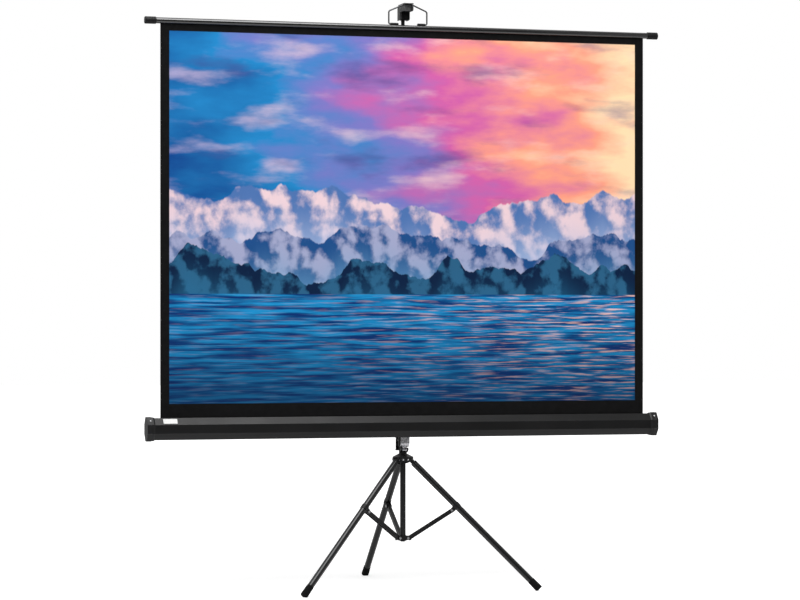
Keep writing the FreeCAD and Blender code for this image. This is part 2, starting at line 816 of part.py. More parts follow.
def make_catch():
    """Moulded collar at the foot of the carriage, with a sprung lever behind it."""
    hole = size.carriage_od + 2 * size.fixed_gap
    ring = cylinder(size.catch_collar_od, size.catch_collar_height)
    half_lug = size.catch_lug / 2
    lug = block(
        (-half_lug, half_lug), (0, size.catch_lug_reach), (size.catch_lug_low, size.catch_collar_height))
    bore = cylinder(hole, size.catch_collar_height + 2 * size.cut_overrun, (0, 0, -size.cut_overrun))
    pin_start = (-size.catch_width / 2, size.catch_pivot_reach, size.catch_pivot_height)
    pin_hole = cylinder(size.catch_pin_od + 2 * size.fixed_gap, size.catch_width, pin_start, ALONG_X)
    frame = MAST_FRAME * Placement(Vector(0, 0, neck_top.number), ALONG_Z)
    sub_part("catch_collar", cut(fused(ring, lug), bore, pin_hole), frame)
    pin = cylinder(size.catch_pin_od, size.catch_width, pin_start, ALONG_X)
    sub_part("catch_pin", grouped([pin]), frame)
    sub_part("catch_lever", make_catch_lever(), frame)


def make_catch_lever():
    """Bent plate that hangs behind the mast, with a foot turned out for the fingers."""
    body = new_body()
    pin = (size.catch_pivot_reach, size.catch_pivot_height)
    eye = size.catch_eye_od / 2
    padded(body, sketched(body, "YZ", circles=[(pin, size.catch_eye_od)]), size.catch_width, True)
    back = size.catch_pivot_reach + eye
    inner = back - size.catch_sheet
    low = size.catch_pivot_height - size.catch_drop
    padded(body, sketched(body, "YZ", [[
        (inner, size.catch_pivot_height), (back, size.catch_pivot_height),
        (back, low + size.catch_sheet), (back + size.catch_foot, low + size.catch_sheet),
        (back + size.catch_foot, low), (inner, low)]]), size.catch_width, True)
    slot = size.catch_lug + 2 * size.side_gap
    pocketed(body, sketched(body, "YZ", [[
        (size.catch_pivot_reach - eye - size.cut_overrun, size.catch_lug_low - size.side_gap),
        (back + size.cut_overrun, size.catch_lug_low - size.side_gap),
        (back + size.cut_overrun, size.catch_pivot_height + eye + size.cut_overrun),
        (size.catch_pivot_reach - eye - size.cut_overrun,
         size.catch_pivot_height + eye + size.cut_overrun)]]), slot)
    body.Tip = pocketed(body, sketched(body, "YZ", circles=[
        (pin, size.catch_pin_od + 2 * size.running_gap)]), size.catch_width + size.cut_overrun)
    return body


def make_pole_clamp():
    """Collar that guides the pole, with a screw boss behind it, and the scalloped knob."""
    frame = MAST_FRAME * Placement(Vector(0, 0, carriage_top.number), ALONG_Z)
    body = new_body()
    outer = size.clamp_od / 2
    tube_hole = size.carriage_od / 2 + size.fixed_gap
    pole_hole = size.pole_od / 2 + size.running_gap
    shoulder = size.clamp_above / 4
    turned(body, [
        (tube_hole, -size.clamp_below), (outer, -size.clamp_below),
        (outer, size.clamp_above - shoulder), (outer - shoulder, size.clamp_above),
        (pole_hole, size.clamp_above), (pole_hole, 0), (tube_hole, 0)])
    height = size.clamp_screw_height
    root_y = (outer + pole_hole) / 2
    boss = cylinder(
        size.clamp_boss_od, size.clamp_boss_reach - root_y, (0, root_y, height), ALONG_Y)
    screw_hole = cylinder(
        size.clamp_screw_od + 2 * size.running_gap, size.clamp_boss_reach + size.cut_overrun,
        (0, 0, height), ALONG_Y)
    sub_part("pole_clamp", cut(fused(body, boss), screw_hole), frame)
    tip = size.pole_od / 2 + size.side_gap
    knob_y = size.clamp_boss_reach + size.side_gap
    stud = cylinder(size.clamp_screw_od, knob_y + size.knob_boss - tip, (0, tip, height), ALONG_Y)
    sub_part("knob_stud", grouped([stud]), frame)
    knob_place = Placement(Vector(0, knob_y.number, height.number), ALONG_Y)
    sub_part("clamp_knob", make_knob(), frame * knob_place)


def make_knob():
    """Moulded hand knob with finger scallops round its rim, bored for the stud."""
    body = new_body()
    bore = size.clamp_screw_od / 2 + size.fixed_gap
    rim = size.knob_od / 2
    boss = size.knob_boss_od / 2
    edge = size.knob_boss / 4
    turned(body, [
        (bore, 0), (boss, 0), (boss, size.knob_boss - edge), (rim - edge, size.knob_boss - edge),
        (rim, size.knob_boss), (rim, size.knob_length - edge), (rim - edge, size.knob_length),
        (0, size.knob_length), (0, size.knob_boss), (bore, size.knob_boss)])
    scallop = pocketed(body, sketched(body, "XY", circles=[
        ((rim + size.knob_scallop_od / 4, 0), size.knob_scallop_od)]),
        2 * size.knob_length + size.cut_overrun)
    patterned(body, [scallop], KNOB_SCALLOPS)
    return body


def make_swivel():
    """Block on the carriage, friction washer, stud and the saddle fixed to the case's back."""
    frame = MAST_FRAME * Placement(Vector(0, 0, case_height.number), ALONG_Z)
    half_height = size.swivel_block_height / 2
    outer = block(
        centred(size.swivel_block_width), (block_front_y, -block_front_y),
        centred(size.swivel_block_height))
    bore = cylinder(
        size.carriage_od + 2 * size.fixed_gap, size.swivel_block_height + 2 * size.cut_overrun,
        (0, 0, -half_height - size.cut_overrun))
    hole = size.swivel_stud_od + 2 * size.fixed_gap
    stud_start = washer_front_y - size.swivel_stud_bite
    stud_length = 2 * size.swivel_stud_bite + size.swivel_washer
    stud_hole = [cylinder(hole, stud_length, (0, stud_start, 0), ALONG_Y) for _ in range(2)]
    sub_part("swivel_block", cut(outer, bore, stud_hole[0]), frame)
    washer = tube(
        size.swivel_washer_od, hole, size.swivel_washer, (0, washer_front_y, 0), ALONG_Y)
    sub_part("swivel_washer", washer, frame)
    stud = cylinder(size.swivel_stud_od, stud_length, (0, stud_start, 0), ALONG_Y)
    sub_part("swivel_stud", grouped([stud]), frame)
    saddle = block(
        centred(size.saddle_length), (saddle_front_y, washer_front_y), centred(size.saddle_height))
    sub_part("case_saddle", cut(saddle, stud_hole[1]), frame)


def case_frame():
    """Origin on the middle of the case's axis."""
    return MAST_FRAME * Placement(Vector(0, case_y.number, case_height.number), ALONG_Z)


def make_case():
    """Octagonal shell with a slot along its top, closed by a moulded cap at each end."""
    shell = new_body()
    sections = [octagon(as_size(0)), octagon(-size.case_wall)]
    padded(shell, sketched(shell, "YZ", sections), shell_length, True)
    slot_low = fabric_y - case_y - size.case_slot / 2
    slot_high = slot_low + size.case_slot
    top = size.case_tall / 2
    floor = top - 2 * size.case_wall
    shell.Tip = pocketed(shell, sketched(shell, "YZ", [[
        (slot_low, floor), (slot_high, floor),
        (slot_high, top + size.cut_overrun), (slot_low, top + size.cut_overrun)]]),
        shell_length + size.cut_overrun)
    sub_part("case_shell", shell, case_frame())
    band_start = size.case_overall / 2 - size.cap_band
    for side, sign in (("left", -1), ("right", 1)):
        turn = Rotation(UPRIGHT, HALF_TURN * (1 - sign) / 2)
        place = Placement(Vector(sign * band_start.number, 0, 0), turn)
        sub_part(f"case_cap_{side}", make_case_cap(), case_frame() * place)


def make_case_cap():
    """Eight-sided cup over the shell's end: a band, a thinner skirt and a chamfered lip."""
    body = new_body()
    padded(body, sketched(body, "YZ", [octagon(size.cap_band_wall)]), size.cap_band)
    skirt = padded(body, sketched(body, "YZ", [octagon(size.cap_skirt_wall)]), size.cap_skirt)
    skirt.Reversed = True
    inner_end = -size.cap_skirt - size.cap_chamfer
    lip = body.newObject("PartDesign::AdditiveLoft", "lip")
    lip.Profile = sketched(body, "YZ", [octagon(size.cap_skirt_wall)], offset=-size.cap_skirt)
    lip.Sections = [sketched(body, "YZ", [octagon(size.cap_lip_wall)], offset=inner_end)]
    lip.Ruled = True
    cavity = body.newObject("PartDesign::Pocket", "cavity")
    cavity.Profile = sketched(body, "YZ", [octagon(size.fixed_gap)], offset=inner_end)
    cavity.setExpression("Length", (size.cap_band - size.cap_end - inner_end).text)
    cavity.Reversed = True
    body.Tip = cavity
    return body


def make_bearings():
    """Octagonal plates inside the shell that carry the roller, and the fixed spring spindle."""
    section = octagon(-size.case_wall - size.fixed_gap)
    fixed_hole = size.spindle_od + 2 * size.fixed_gap
    running_hole = size.spindle_od + 2 * size.running_gap
    seat = (size.roller_offset, 0)
    for side, sign, hole in (("left", -1, fixed_hole), ("right", 1, running_hole)):
        body = new_body()
        padded(body, sketched(body, "YZ", [section], [(seat, hole)]), size.bearing_plate)
        start = bearing_x - size.bearing_plate if sign > 0 else -bearing_x
        place = Placement(Vector(start.number, 0, 0), ALONG_Z)
        sub_part(f"bearing_{side}", body, case_frame() * place)
    spindle = cylinder(
        size.spindle_od, size.spindle_length, (-bearing_x, size.roller_offset, 0), ALONG_X)
    sub_part("spring_spindle", grouped([spindle]), case_frame())


def make_roller():
    """Tube on end plugs, with the fabric wound on it and the spring that pulls the fabric in."""
    frame = MAST_FRAME * Placement(Vector(0, roller_y.number, case_height.number), ALONG_Z)
    bore = size.roller_od - 2 * size.roller_wall
    length = 2 * roller_end_x
    sub_part("roller_tube", tube(size.roller_od, bore, length, (-roller_end_x, 0, 0), ALONG_X), frame)
    plug_od = bore - 2 * size.fixed_gap
    spindle_hole = size.spindle_od + 2 * size.running_gap
    left_plug = tube(plug_od, spindle_hole, size.roller_plug, (-roller_end_x, 0, 0), ALONG_X)
    sub_part("roller_plug_left", left_plug, frame)
    right_plug = cylinder(plug_od, size.roller_plug, (roller_end_x - size.roller_plug, 0, 0), ALONG_X)
    stub_length = size.roller_end_play + size.bearing_plate + size.roller_plug_bite
    stub = cylinder(size.spindle_od, stub_length, (roller_end_x, 0, 0), ALONG_X)
    sub_part("roller_plug_right", fused(right_plug, stub), frame)
    spring_start = -roller_end_x + size.roller_plug
    spring = tube(size.spring_od, size.spring_id, size.spring_length, (spring_start, 0, 0), ALONG_X)
    sub_part("roller_spring", spring, frame)
    half_width = fabric_width / 2
    wrap = tube(
        wrap_od, size.roller_od + 2 * size.fixed_gap, fabric_width, (-half_width, 0, 0), ALONG_X)
    sub_part("fabric_wrap", wrap, frame)


def make_rail():
    """Top rail, slotted below for the fabric's edge, with end caps and the bail's clips."""
    frame = MAST_FRAME * Placement(Vector(0, fabric_y.number, rail_height.number), ALONG_Z)
    length = rail_overall - 2 * size.rail_cap_end
    half = length / 2
    bore = size.rail_od - 2 * size.rail_wall
    slot_width = size.fabric + 2 * size.side_gap
    slot = block(
        (-half - size.cut_overrun, half + size.cut_overrun), centred(slot_width),
        (-size.rail_od / 2 - size.cut_overrun, 0))
    rail = cut(tube(size.rail_od, bore, length, (-half, 0, 0), ALONG_X), slot)
    sub_part("top_rail", rail, frame)
    for side, sign in (("left", -1), ("right", 1)):
        turn = Rotation(TANGENT, sign * FULL_TURN / 4)
        place = Placement(Vector(sign * (rail_overall / 2 - size.rail_cap_length).number, 0, 0), turn)
        sub_part(f"rail_cap_{side}", make_rail_cap(), frame * place)
    clips = [make_bail_clip(sign) for sign in (-1, 1)]
    sub_part("bail_clips", grouped(clips), frame)
    low = case_height
    high = rail_height - size.rail_od / 2 + size.fabric_tuck
    half_fabric = size.fabric / 2
    fabric = block(
        centred(fabric_width), (fabric_y - half_fabric, fabric_y + half_fabric), (low, high))
    sub_part("screen_fabric", grouped([fabric]), MAST_FRAME)


def make_rail_cap():
    """Round moulded cup pushed over the rail's end, with a softened rim."""
    body = new_body()
    outer = size.rail_cap_od / 2
    bore = size.rail_od / 2 + size.fixed_gap
    length = size.rail_cap_length
    edge = size.rail_cap_end / 2
    turned(body, [
        (bore, 0), (outer - edge, 0), (outer, edge), (outer, length - edge), (outer - edge, length),
        (0, length), (0, length - size.rail_cap_end), (bore, length - size.rail_cap_end)])
    return body


def make_bail_clip(sign):
    """Saddle riveted on the rail, in which one foot of the bail turns."""
    pivot = bail_height - rail_height
    near = size.bail_span / 2 - size.bail_clip_inset - size.bail_clip_length
    start = near if sign > 0 else -near - size.bail_clip_length
    outer = size.bail_wire + 2 * size.bail_clip_wall
    loop = cylinder(outer, size.bail_clip_length, (start, 0, pivot), ALONG_X)
    saddle = block((start, start + size.bail_clip_length), centred(outer), (0, pivot))
    through = size.bail_clip_length + 2 * size.cut_overrun
    rail_hole = cylinder(
        size.rail_od + 2 * size.fixed_gap, through, (start - size.cut_overrun, 0, 0), ALONG_X)
    wire_hole = cylinder(
        size.bail_wire + 2 * size.running_gap, through, (start - size.cut_overrun, 0, pivot), ALONG_X)
    return cut(fused(loop, saddle), rail_hole, wire_hole)


def bent_wire(corners, bends, diameter):
    """A round wire through the corners, with a tangent arc of its own radius at each bend."""
    edges = []
    start = corners[0]
    for before, corner, after, bend in zip(corners, corners[1:], corners[2:], bends):
        towards = (before - corner).normalize()
        away = (after - corner).normalize()
        half_angle = towards.getAngle(away) / 2
        setback = bend / math.tan(half_angle)
        entry = corner + towards * setback
        leave = corner + away * setback
        middle = (towards + away).normalize()
        arc_middle = corner + middle * (bend / math.sin(half_angle) - bend)
        edges.append(Part.LineSegment(start, entry).toShape())
        edges.append(Part.Arc(entry, arc_middle, leave).toShape())
        start = leave
    edges.append(Part.LineSegment(start, corners[-1]).toShape())
    path = Part.Wire(edges)
    direction = corners[1] - corners[0]
    profile = Part.Wire(Part.Circle(corners[0], direction, diameter / 2).toShape())
    return path.makePipeShell([profile], True, False)


def make_bail():
    """Steel wire loop that turns in the clips and hooks over the head of the pole."""
    half = size.bail_span.number / 2
    foot = half - size.bail_foot.number
    low = bail_height.number
    shoulder = bail_shoulder.number
    bend = size.bail_bend.number
    foot_bend = size.bail_foot_bend.number
    right = [(foot, low), (half, low), (half, shoulder), (size.bail_flat.number / 2, bail_apex.number)]
    left = [(-across, height) for across, height in reversed(right)]
    outline = right + left
    corners = [Vector(across, fabric_y.number, height) for across, height in outline]
    bail = doc.addObject("Part::Feature", "bail")
    bail.Shape = bent_wire(
        corners, [foot_bend, bend, bend, bend, bend, foot_bend], size.bail_wire.number)
    sub_part("bail_wire", bail, MAST_FRAME)


def make_pole():
    """Slim pole out of the carriage, with the moulded block and folded hook arm on its top."""
    block_low = arm_low - size.block_drop
    pole_low = carriage_top - size.pole_engagement
    pole_high = block_low + size.block_socket_depth
    pole = tube(size.pole_od, size.pole_od - 2 * size.pole_wall, pole_high - pole_low, (0, 0, pole_low))
    sub_part("extension_pole", pole, MAST_FRAME)
    sub_part("hook_block", make_hook_block(block_low, pole_high), MAST_FRAME)
    sub_part("hook_arm", make_hook_arm(), MAST_FRAME)
    rivet_grip = size.hook_width + 2 * size.fixed_gap
    pin = rivet(size.hook_rivet_od, rivet_grip, hook_rivet_place(), ALONG_X)
    sub_part("hook_rivet", grouped([pin]), MAST_FRAME)


def hook_rivet_place():
    return (0, -size.hook_rivet_reach, hook_top - size.hook_rivet_drop)


def make_hook_block(low, pole_high):
    """Moulded block: a socket for the pole, and a nose that fills the arm behind the bail."""
    high = hook_top - size.hook_sheet
    body = new_body()
    padded(body, sketched(body, "YZ", [[
        (0, low), (-size.block_front + size.block_chamfer, low),
        (-size.block_front, low + size.block_chamfer), (-size.block_front, arm_low),
        (-size.block_upper_front, arm_low), (-size.block_upper_front, high), (0, high)]]),
        size.block_width, True)
    place = hook_rivet_place()
    body.Tip = pocketed(body, sketched(body, "YZ", circles=[
        (place[1:], size.hook_rivet_od + 2 * size.fixed_gap)]), size.block_width + size.cut_overrun)
    socket = cylinder(size.block_socket_od, high - low, (0, 0, low))
    bore = cylinder(
        size.pole_od + 2 * size.fixed_gap, pole_high - low + size.cut_overrun,
        (0, 0, low - size.cut_overrun))
    return cut(fused(body, socket), bore)


def make_hook_arm():
    """Folded channel over the block; slots in its walls follow the bail's swing and open forwards."""
    body = new_body()
    flange_low = arm_low - size.hook_flange_drop
    back = size.hook_back
    front = -size.hook_front
    padded(body, sketched(body, "YZ", [[
        (back, flange_low), (back, hook_top - size.hook_back_chamfer),
        (back - size.hook_back_chamfer, hook_top), (front, hook_top),
        (front, arm_low + size.hook_front_chamfer), (front + size.hook_front_chamfer, arm_low),
        (-size.hook_flange_front, arm_low), (-size.hook_flange_front, flange_low)]]),
        size.hook_width, True)
    roof = hook_top - size.hook_sheet
    body.Tip = pocketed(body, sketched(body, "YZ", [[
        (back + size.cut_overrun, flange_low - size.cut_overrun), (back + size.cut_overrun, roof),
        (front - size.cut_overrun, roof), (front - size.cut_overrun, flange_low - size.cut_overrun)]]),
        2 * inner_wall)
    through = size.hook_width + 2 * size.cut_overrun
    start = -through / 2
    high_radius = wire_high + size.hook_slot_gap - bail_height
    low_radius = wire_low - size.hook_slot_gap - bail_height
    sweep = tube(2 * high_radius, 2 * low_radius, through, (start, fabric_y, bail_height), ALONG_X)
    slot_back = fabric_y + size.bail_wire / 2 + size.hook_slot_gap
    mouth = block((start, -start), (front - size.cut_overrun, slot_back), (bail_height, hook_top))
    place = hook_rivet_place()
    rivet_hole = cylinder(
        size.hook_rivet_od + 2 * size.fixed_gap, through, (start, place[1], place[2]), ALONG_X)
    return cut(body, shared(sweep, mouth), rivet_hole)


def check_document():
    """Stop if any object of the document, or any sub-part's shape, failed to build."""
    doc.recompute()
    failed = [item.Label for item in doc.Objects if "Invalid" in item.State or "Error" in item.State]
    bad = [item.Label for item in sub_parts if item.Shape.isNull() or not item.Shape.isValid()]
    if failed or bad:
        raise RuntimeError(f"failed objects {failed}, bad shapes {bad}")


def build():
    make_stand()
    make_centre_tube()
    for side, azimuth in LEG_AZIMUTHS.items():
        make_leg(side, azimuth)
        make_brace(side, azimuth)
    make_lock_lever()
    make_carriage()
    make_swivel()
    make_case()
    make_bearings()
    make_roller()
    make_rail()
    make_bail()
    make_pole()
    check_document()


build()
os.makedirs("parts", exist_ok=True)
for item in sub_parts:
    item.Shape.exportStep(os.path.join("parts", f"{item.Label}.step"))
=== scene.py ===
import math

import bmesh
import bpy
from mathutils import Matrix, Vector


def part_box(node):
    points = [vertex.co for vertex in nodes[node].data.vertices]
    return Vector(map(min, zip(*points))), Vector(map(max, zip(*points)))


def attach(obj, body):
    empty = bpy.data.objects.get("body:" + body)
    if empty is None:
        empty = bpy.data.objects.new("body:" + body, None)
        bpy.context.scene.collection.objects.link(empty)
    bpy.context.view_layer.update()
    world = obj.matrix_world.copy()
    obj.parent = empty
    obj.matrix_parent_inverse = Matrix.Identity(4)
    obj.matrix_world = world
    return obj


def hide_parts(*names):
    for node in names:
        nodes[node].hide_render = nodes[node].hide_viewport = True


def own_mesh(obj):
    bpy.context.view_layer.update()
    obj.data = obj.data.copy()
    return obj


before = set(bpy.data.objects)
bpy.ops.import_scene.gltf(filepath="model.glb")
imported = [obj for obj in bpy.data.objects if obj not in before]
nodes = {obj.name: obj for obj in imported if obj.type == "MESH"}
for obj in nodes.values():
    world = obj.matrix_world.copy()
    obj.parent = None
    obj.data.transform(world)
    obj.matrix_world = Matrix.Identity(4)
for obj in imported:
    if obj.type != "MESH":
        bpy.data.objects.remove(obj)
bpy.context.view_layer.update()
scene = bpy.context.scene

# Tripod: black tubes with rubber cups on their ends, hinged in a moulded hub and held apart by
# pressed steel braces. The tubes and braces are powder coated, which leaves a satin skin with a
# faint orange peel and a few scuffs from being carried about.
def node_group(name, inputs, outputs):
    """An empty shader group with named float inputs and outputs."""
    tree = bpy.data.node_groups.new(name, "ShaderNodeTree")
    for label, default in inputs:
        socket = tree.interface.new_socket(label, in_out="INPUT", socket_type="NodeSocketFloat")
        socket.default_value = default
    for label in outputs:
        tree.interface.new_socket(label, in_out="OUTPUT", socket_type="NodeSocketFloat")
    start = tree.nodes.new("NodeGroupInput")
    end = tree.nodes.new("NodeGroupOutput")
    return tree, start, end


def math_node(tree, operation, first, second):
    """One sum or product of two values, each a socket or a number."""
    node = tree.nodes.new("ShaderNodeMath")
    node.operation = operation
    for socket, value in zip(node.inputs, (first, second)):
        if isinstance(value, (int, float)):
            socket.default_value = value
        else:
            tree.links.new(value, socket)
    return node.outputs[0]


def noise(tree, scale, detail, vector=None, stretch=(1, 1, 1), shift=(0, 0, 0)):
    """Noise on object coordinates, or on a given vector, stretched along the axes and shifted."""
    mapping = tree.nodes.new("ShaderNodeMapping")
    mapping.inputs["Scale"].default_value = stretch
    mapping.inputs["Location"].default_value = shift
    if vector is None:
        vector = tree.nodes.new("ShaderNodeTexCoord").outputs["Object"]
    tree.links.new(vector, mapping.inputs["Vector"])
    texture = tree.nodes.new("ShaderNodeTexNoise")
    texture.inputs["Detail"].default_value = detail
    tree.links.new(mapping.outputs["Vector"], texture.inputs["Vector"])
    if isinstance(scale, (int, float)):
        texture.inputs["Scale"].default_value = scale
    else:
        tree.links.new(scale, texture.inputs["Scale"])
    return texture.outputs["Fac"]


def spread(tree, value, low, high, to_low, to_high, smooth=False):
    """A value taken from one range to another and held inside it."""
    node = tree.nodes.new("ShaderNodeMapRange")
    node.interpolation_type = "SMOOTHSTEP" if smooth else "LINEAR"
    limits = {"From Min": low, "From Max": high, "To Min": to_low, "To Max": to_high}
    for label, number in limits.items():
        if isinstance(number, (int, float)):
            node.inputs[label].default_value = number
        else:
            tree.links.new(number, node.inputs[label])
    tree.links.new(value, node.inputs["Value"])
    return node.outputs["Result"]


def make_orange_peel():
    """Skin of a sprayed or moulded surface: fine lumps, and gloss that drifts over the piece."""
    tree, start, end = node_group(
        "orange_peel",
        [("Grain", 900.0), ("Drift", 14.0), ("Gloss Low", 0.3), ("Gloss High", 0.45)],
        ["Roughness", "Height"])
    drift = noise(tree, start.outputs["Drift"], 4.0)
    grain = noise(tree, start.outputs["Grain"], 2.0)
    gloss = spread(tree, drift, 0.3, 0.7, start.outputs["Gloss Low"], start.outputs["Gloss High"])
    tree.links.new(gloss, end.inputs["Roughness"])
    tree.links.new(grain, end.inputs["Height"])
    return tree


SCUFF_START = 0.62
SCUFF_GAIN = 0.5
SCUFF_SOFTNESS = 0.08


def make_scuffs():
    """Thin rubbed patches where a piece is handled or slides in its neighbour."""
    tree, start, end = node_group("scuffs", [("Patch", 22.0), ("Amount", 0.3)], ["Mask"])
    patch = noise(tree, start.outputs["Patch"], 5.0)
    streak = noise(tree, start.outputs["Patch"], 6.0, stretch=(6, 6, 1))
    worn_and_lit = math_node(tree, "MULTIPLY", patch, streak)
    more = math_node(tree, "MULTIPLY", start.outputs["Amount"], SCUFF_GAIN)
    edge = math_node(tree, "SUBTRACT", SCUFF_START, more)
    mask = spread(tree, worn_and_lit, edge, math_node(tree, "ADD", edge, SCUFF_SOFTNESS), 0.0, 1.0)
    tree.links.new(mask, end.inputs["Mask"])
    return tree


def make_settled_dust():
    """A pale film on the faces that look upwards."""
    tree, start, end = node_group("settled_dust", [("Amount", 0.2)], ["Mask"])
    normal = tree.nodes.new("ShaderNodeSeparateXYZ")
    tree.links.new(tree.nodes.new("ShaderNodeNewGeometry").outputs["Normal"], normal.inputs[0])
    upward = spread(tree, normal.outputs["Z"], 0.35, 1.0, 0.0, 1.0)
    cloud = spread(tree, noise(tree, 30.0, 5.0), 0.35, 0.75, 0.2, 1.0)
    film = math_node(tree, "MULTIPLY", upward, cloud)
    tree.links.new(math_node(tree, "MULTIPLY", film, start.outputs["Amount"]), end.inputs["Mask"])
    return tree


orange_peel = make_orange_peel()
scuffs = make_scuffs()
settled_dust = make_settled_dust()
DUST_COLOUR = (0.16, 0.155, 0.145)


def placed_group(tree, group, **values):
    """A shader group in a material, with its own values."""
    node = tree.nodes.new("ShaderNodeGroup")
    node.node_tree = group
    for label, number in values.items():
        node.inputs[label.replace("_", " ")].default_value = number
    return node


def blended(tree, factor, first, second):
    """Two colours mixed by a mask; each is a colour or a socket."""
    node = tree.nodes.new("ShaderNodeMix")
    node.data_type = "RGBA"
    for label, kind, value in (
            ("Factor", "VALUE", factor), ("A", "RGBA", first), ("B", "RGBA", second)):
        socket = next(item for item in node.inputs if item.name == label and item.type == kind)
        if isinstance(value, tuple):
            socket.default_value = (*value, 1.0)
        else:
            tree.links.new(value, socket)
    return next(item for item in node.outputs if item.type == "RGBA")


def new_material(name, specular=0.5, metallic=0.0):
    """A material with its node tree and its one shader."""
    material = bpy.data.materials.new(name)
    material.use_nodes = True
    tree = material.node_tree
    shader = tree.nodes["Principled BSDF"]
    shader.inputs["Specular IOR Level"].default_value = specular
    shader.inputs["Metallic"].default_value = metallic
    return material, tree, shader


RELIEF_STRENGTH = 0.6


def add_relief(tree, shader, height, depth):
    """Fine relief, its depth in metres."""
    bump = tree.nodes.new("ShaderNodeBump")
    bump.inputs["Strength"].default_value = RELIEF_STRENGTH
    bump.inputs["Distance"].default_value = depth
    tree.links.new(height, bump.inputs["Height"])
    tree.links.new(bump.outputs["Normal"], shader.inputs["Normal"])


MOTTLE_GAIN = 1.5


def skin(name, colour, wear_and_light_colour, dust, peel, scuff, depth, specular=0.3, edges=None):
    """A coated or moulded finish: its colour, rubbed patches, settled dust and grain; an extra mask
    given in edges takes the pale worn colour too, and on the caps and the hook block that pale
    colour is painted light.
    """
    material, tree, shader = new_material(name, specular)
    wear_and_light_mask = placed_group(tree, scuffs, **scuff).outputs["Mask"]
    if edges:
        group, values = edges
        wear_and_light_mask = math_node(tree, "MAXIMUM", wear_and_light_mask, placed_group(tree, group, **values).outputs["Mask"])
    film = placed_group(tree, settled_dust, Amount=dust)
    mottle = spread(tree, noise(tree, 9.0, 3.0), 0.3, 0.7, 0.0, 1.0)
    lighter = tuple(channel * MOTTLE_GAIN for channel in colour)
    base = blended(tree, mottle, colour, lighter)
    # The pale colour is rubbed wear, and where an edges mask is given it is also painted light.
    worn_and_lit = blended(tree, wear_and_light_mask, base, wear_and_light_colour)
    dusty = blended(tree, film.outputs["Mask"], worn_and_lit, DUST_COLOUR)
    tree.links.new(dusty, shader.inputs["Base Color"])
    grain = placed_group(tree, orange_peel, **peel)
    tree.links.new(grain.outputs["Roughness"], shader.inputs["Roughness"])
    add_relief(tree, shader, grain.outputs["Height"], depth)
    return material


def dress(material, *names):
    """Give CAD nodes their finish."""
    for name in names:
        mesh = nodes[name].data
        mesh.materials.clear()
        mesh.materials.append(material)


SIDES = ("rear", "left", "right")
BLACK_COAT = (0.0042, 0.0042, 0.0045)
tube_coat = skin(
    "tube_coat", BLACK_COAT, (0.022, 0.022, 0.023), 0.04,
    dict(Grain=1400.0, Drift=18.0, Gloss_Low=0.16, Gloss_High=0.24),
    dict(Patch=26.0, Amount=0.25), 0.00001, 0.42)
dress(tube_coat, *[f"leg_tube_{side}" for side in SIDES])

sheet_coat = skin(
    "sheet_coat", BLACK_COAT, (0.035, 0.035, 0.036), 0.04,
    dict(Grain=1100.0, Drift=30.0, Gloss_Low=0.3, Gloss_High=0.46),
    dict(Patch=55.0, Amount=0.35), 0.00003, 0.22)
dress(sheet_coat, *[f"leg_bracket_{side}" for side in SIDES], *[f"brace_{side}" for side in SIDES])

moulding = skin(
    "moulding", (0.005, 0.005, 0.0053), (0.015, 0.015, 0.016), 0.035,
    dict(Grain=2600.0, Drift=24.0, Gloss_Low=0.42, Gloss_High=0.56),
    dict(Patch=60.0, Amount=0.2), 0.00005, 0.2)
dress(moulding, "leg_hub", "brace_collar", "centre_tube_plug",
      *[f"leg_knuckle_{side}" for side in SIDES])

foot_rubber = skin(
    "foot_rubber", (0.0028, 0.0028, 0.0028), (0.02, 0.019, 0.018), 0.04,
    dict(Grain=1900.0, Drift=40.0, Gloss_Low=0.66, Gloss_High=0.85),
    dict(Patch=70.0, Amount=0.3), 0.00008, 0.1)
dress(foot_rubber, *[f"leg_foot_{side}" for side in SIDES])


# Pins and rivets of the tripod: turned steel, headed over. Those of the braces are zinc plated and
# dull, and the legs' pins are blackened.
TARNISH_SHARE = 0.55


def turned_steel(name, colour, gloss_low, gloss_high):
    """Plated steel with fine turning marks round it."""
    material, tree, shader = new_material(name, metallic=1.0)
    tarnish = spread(tree, noise(tree, 160.0, 5.0), 0.35, 0.7, 0.0, 1.0)
    dull = tuple(channel * TARNISH_SHARE for channel in colour)
    tree.links.new(blended(tree, tarnish, colour, dull), shader.inputs["Base Color"])
    grain = placed_group(
        tree, orange_peel, Grain=2400.0, Drift=90.0, Gloss_Low=gloss_low, Gloss_High=gloss_high)
    tree.links.new(grain.outputs["Roughness"], shader.inputs["Roughness"])
    marks = noise(tree, 1500.0, 2.0, stretch=(1, 1, 0.05))
    add_relief(tree, shader, marks, 0.00002)
    return material


plated_steel = turned_steel("plated_steel", (0.42, 0.42, 0.43), 0.3, 0.45)
dress(plated_steel, "lever_pin", "catch_pin", "knob_stud", "swivel_stud",
      *[f"brace_rivets_{side}" for side in SIDES])
blackened_steel = turned_steel("blackened_steel", (0.11, 0.11, 0.115), 0.28, 0.4)
dress(blackened_steel, "leg_pivot_pins")

# Hub screws: small bright pan heads with a cross recess, two in each stretch of the hub's skirt
# between the legs.
SCREW_HEAD_RADIUS = 0.0032
SCREW_HEAD_HEIGHT = 0.0019
HEAD_RING_SHARES = ((1.0, 0.0), (1.0, 0.42), (0.86, 0.8), (0.55, 1.0))
HEAD_STEPS = 16
RECESS_ARMS = 4
RECESS_ARM_SHARE = 0.42
RECESS_WAIST_SHARE = 0.16
RECESS_FLOOR_SHARE = 0.45
HUB_SCREW_TURN = math.radians(13.6)
HUB_SCREW_RISE = 0.0015
HUB_SCREW_SINK = 0.0003


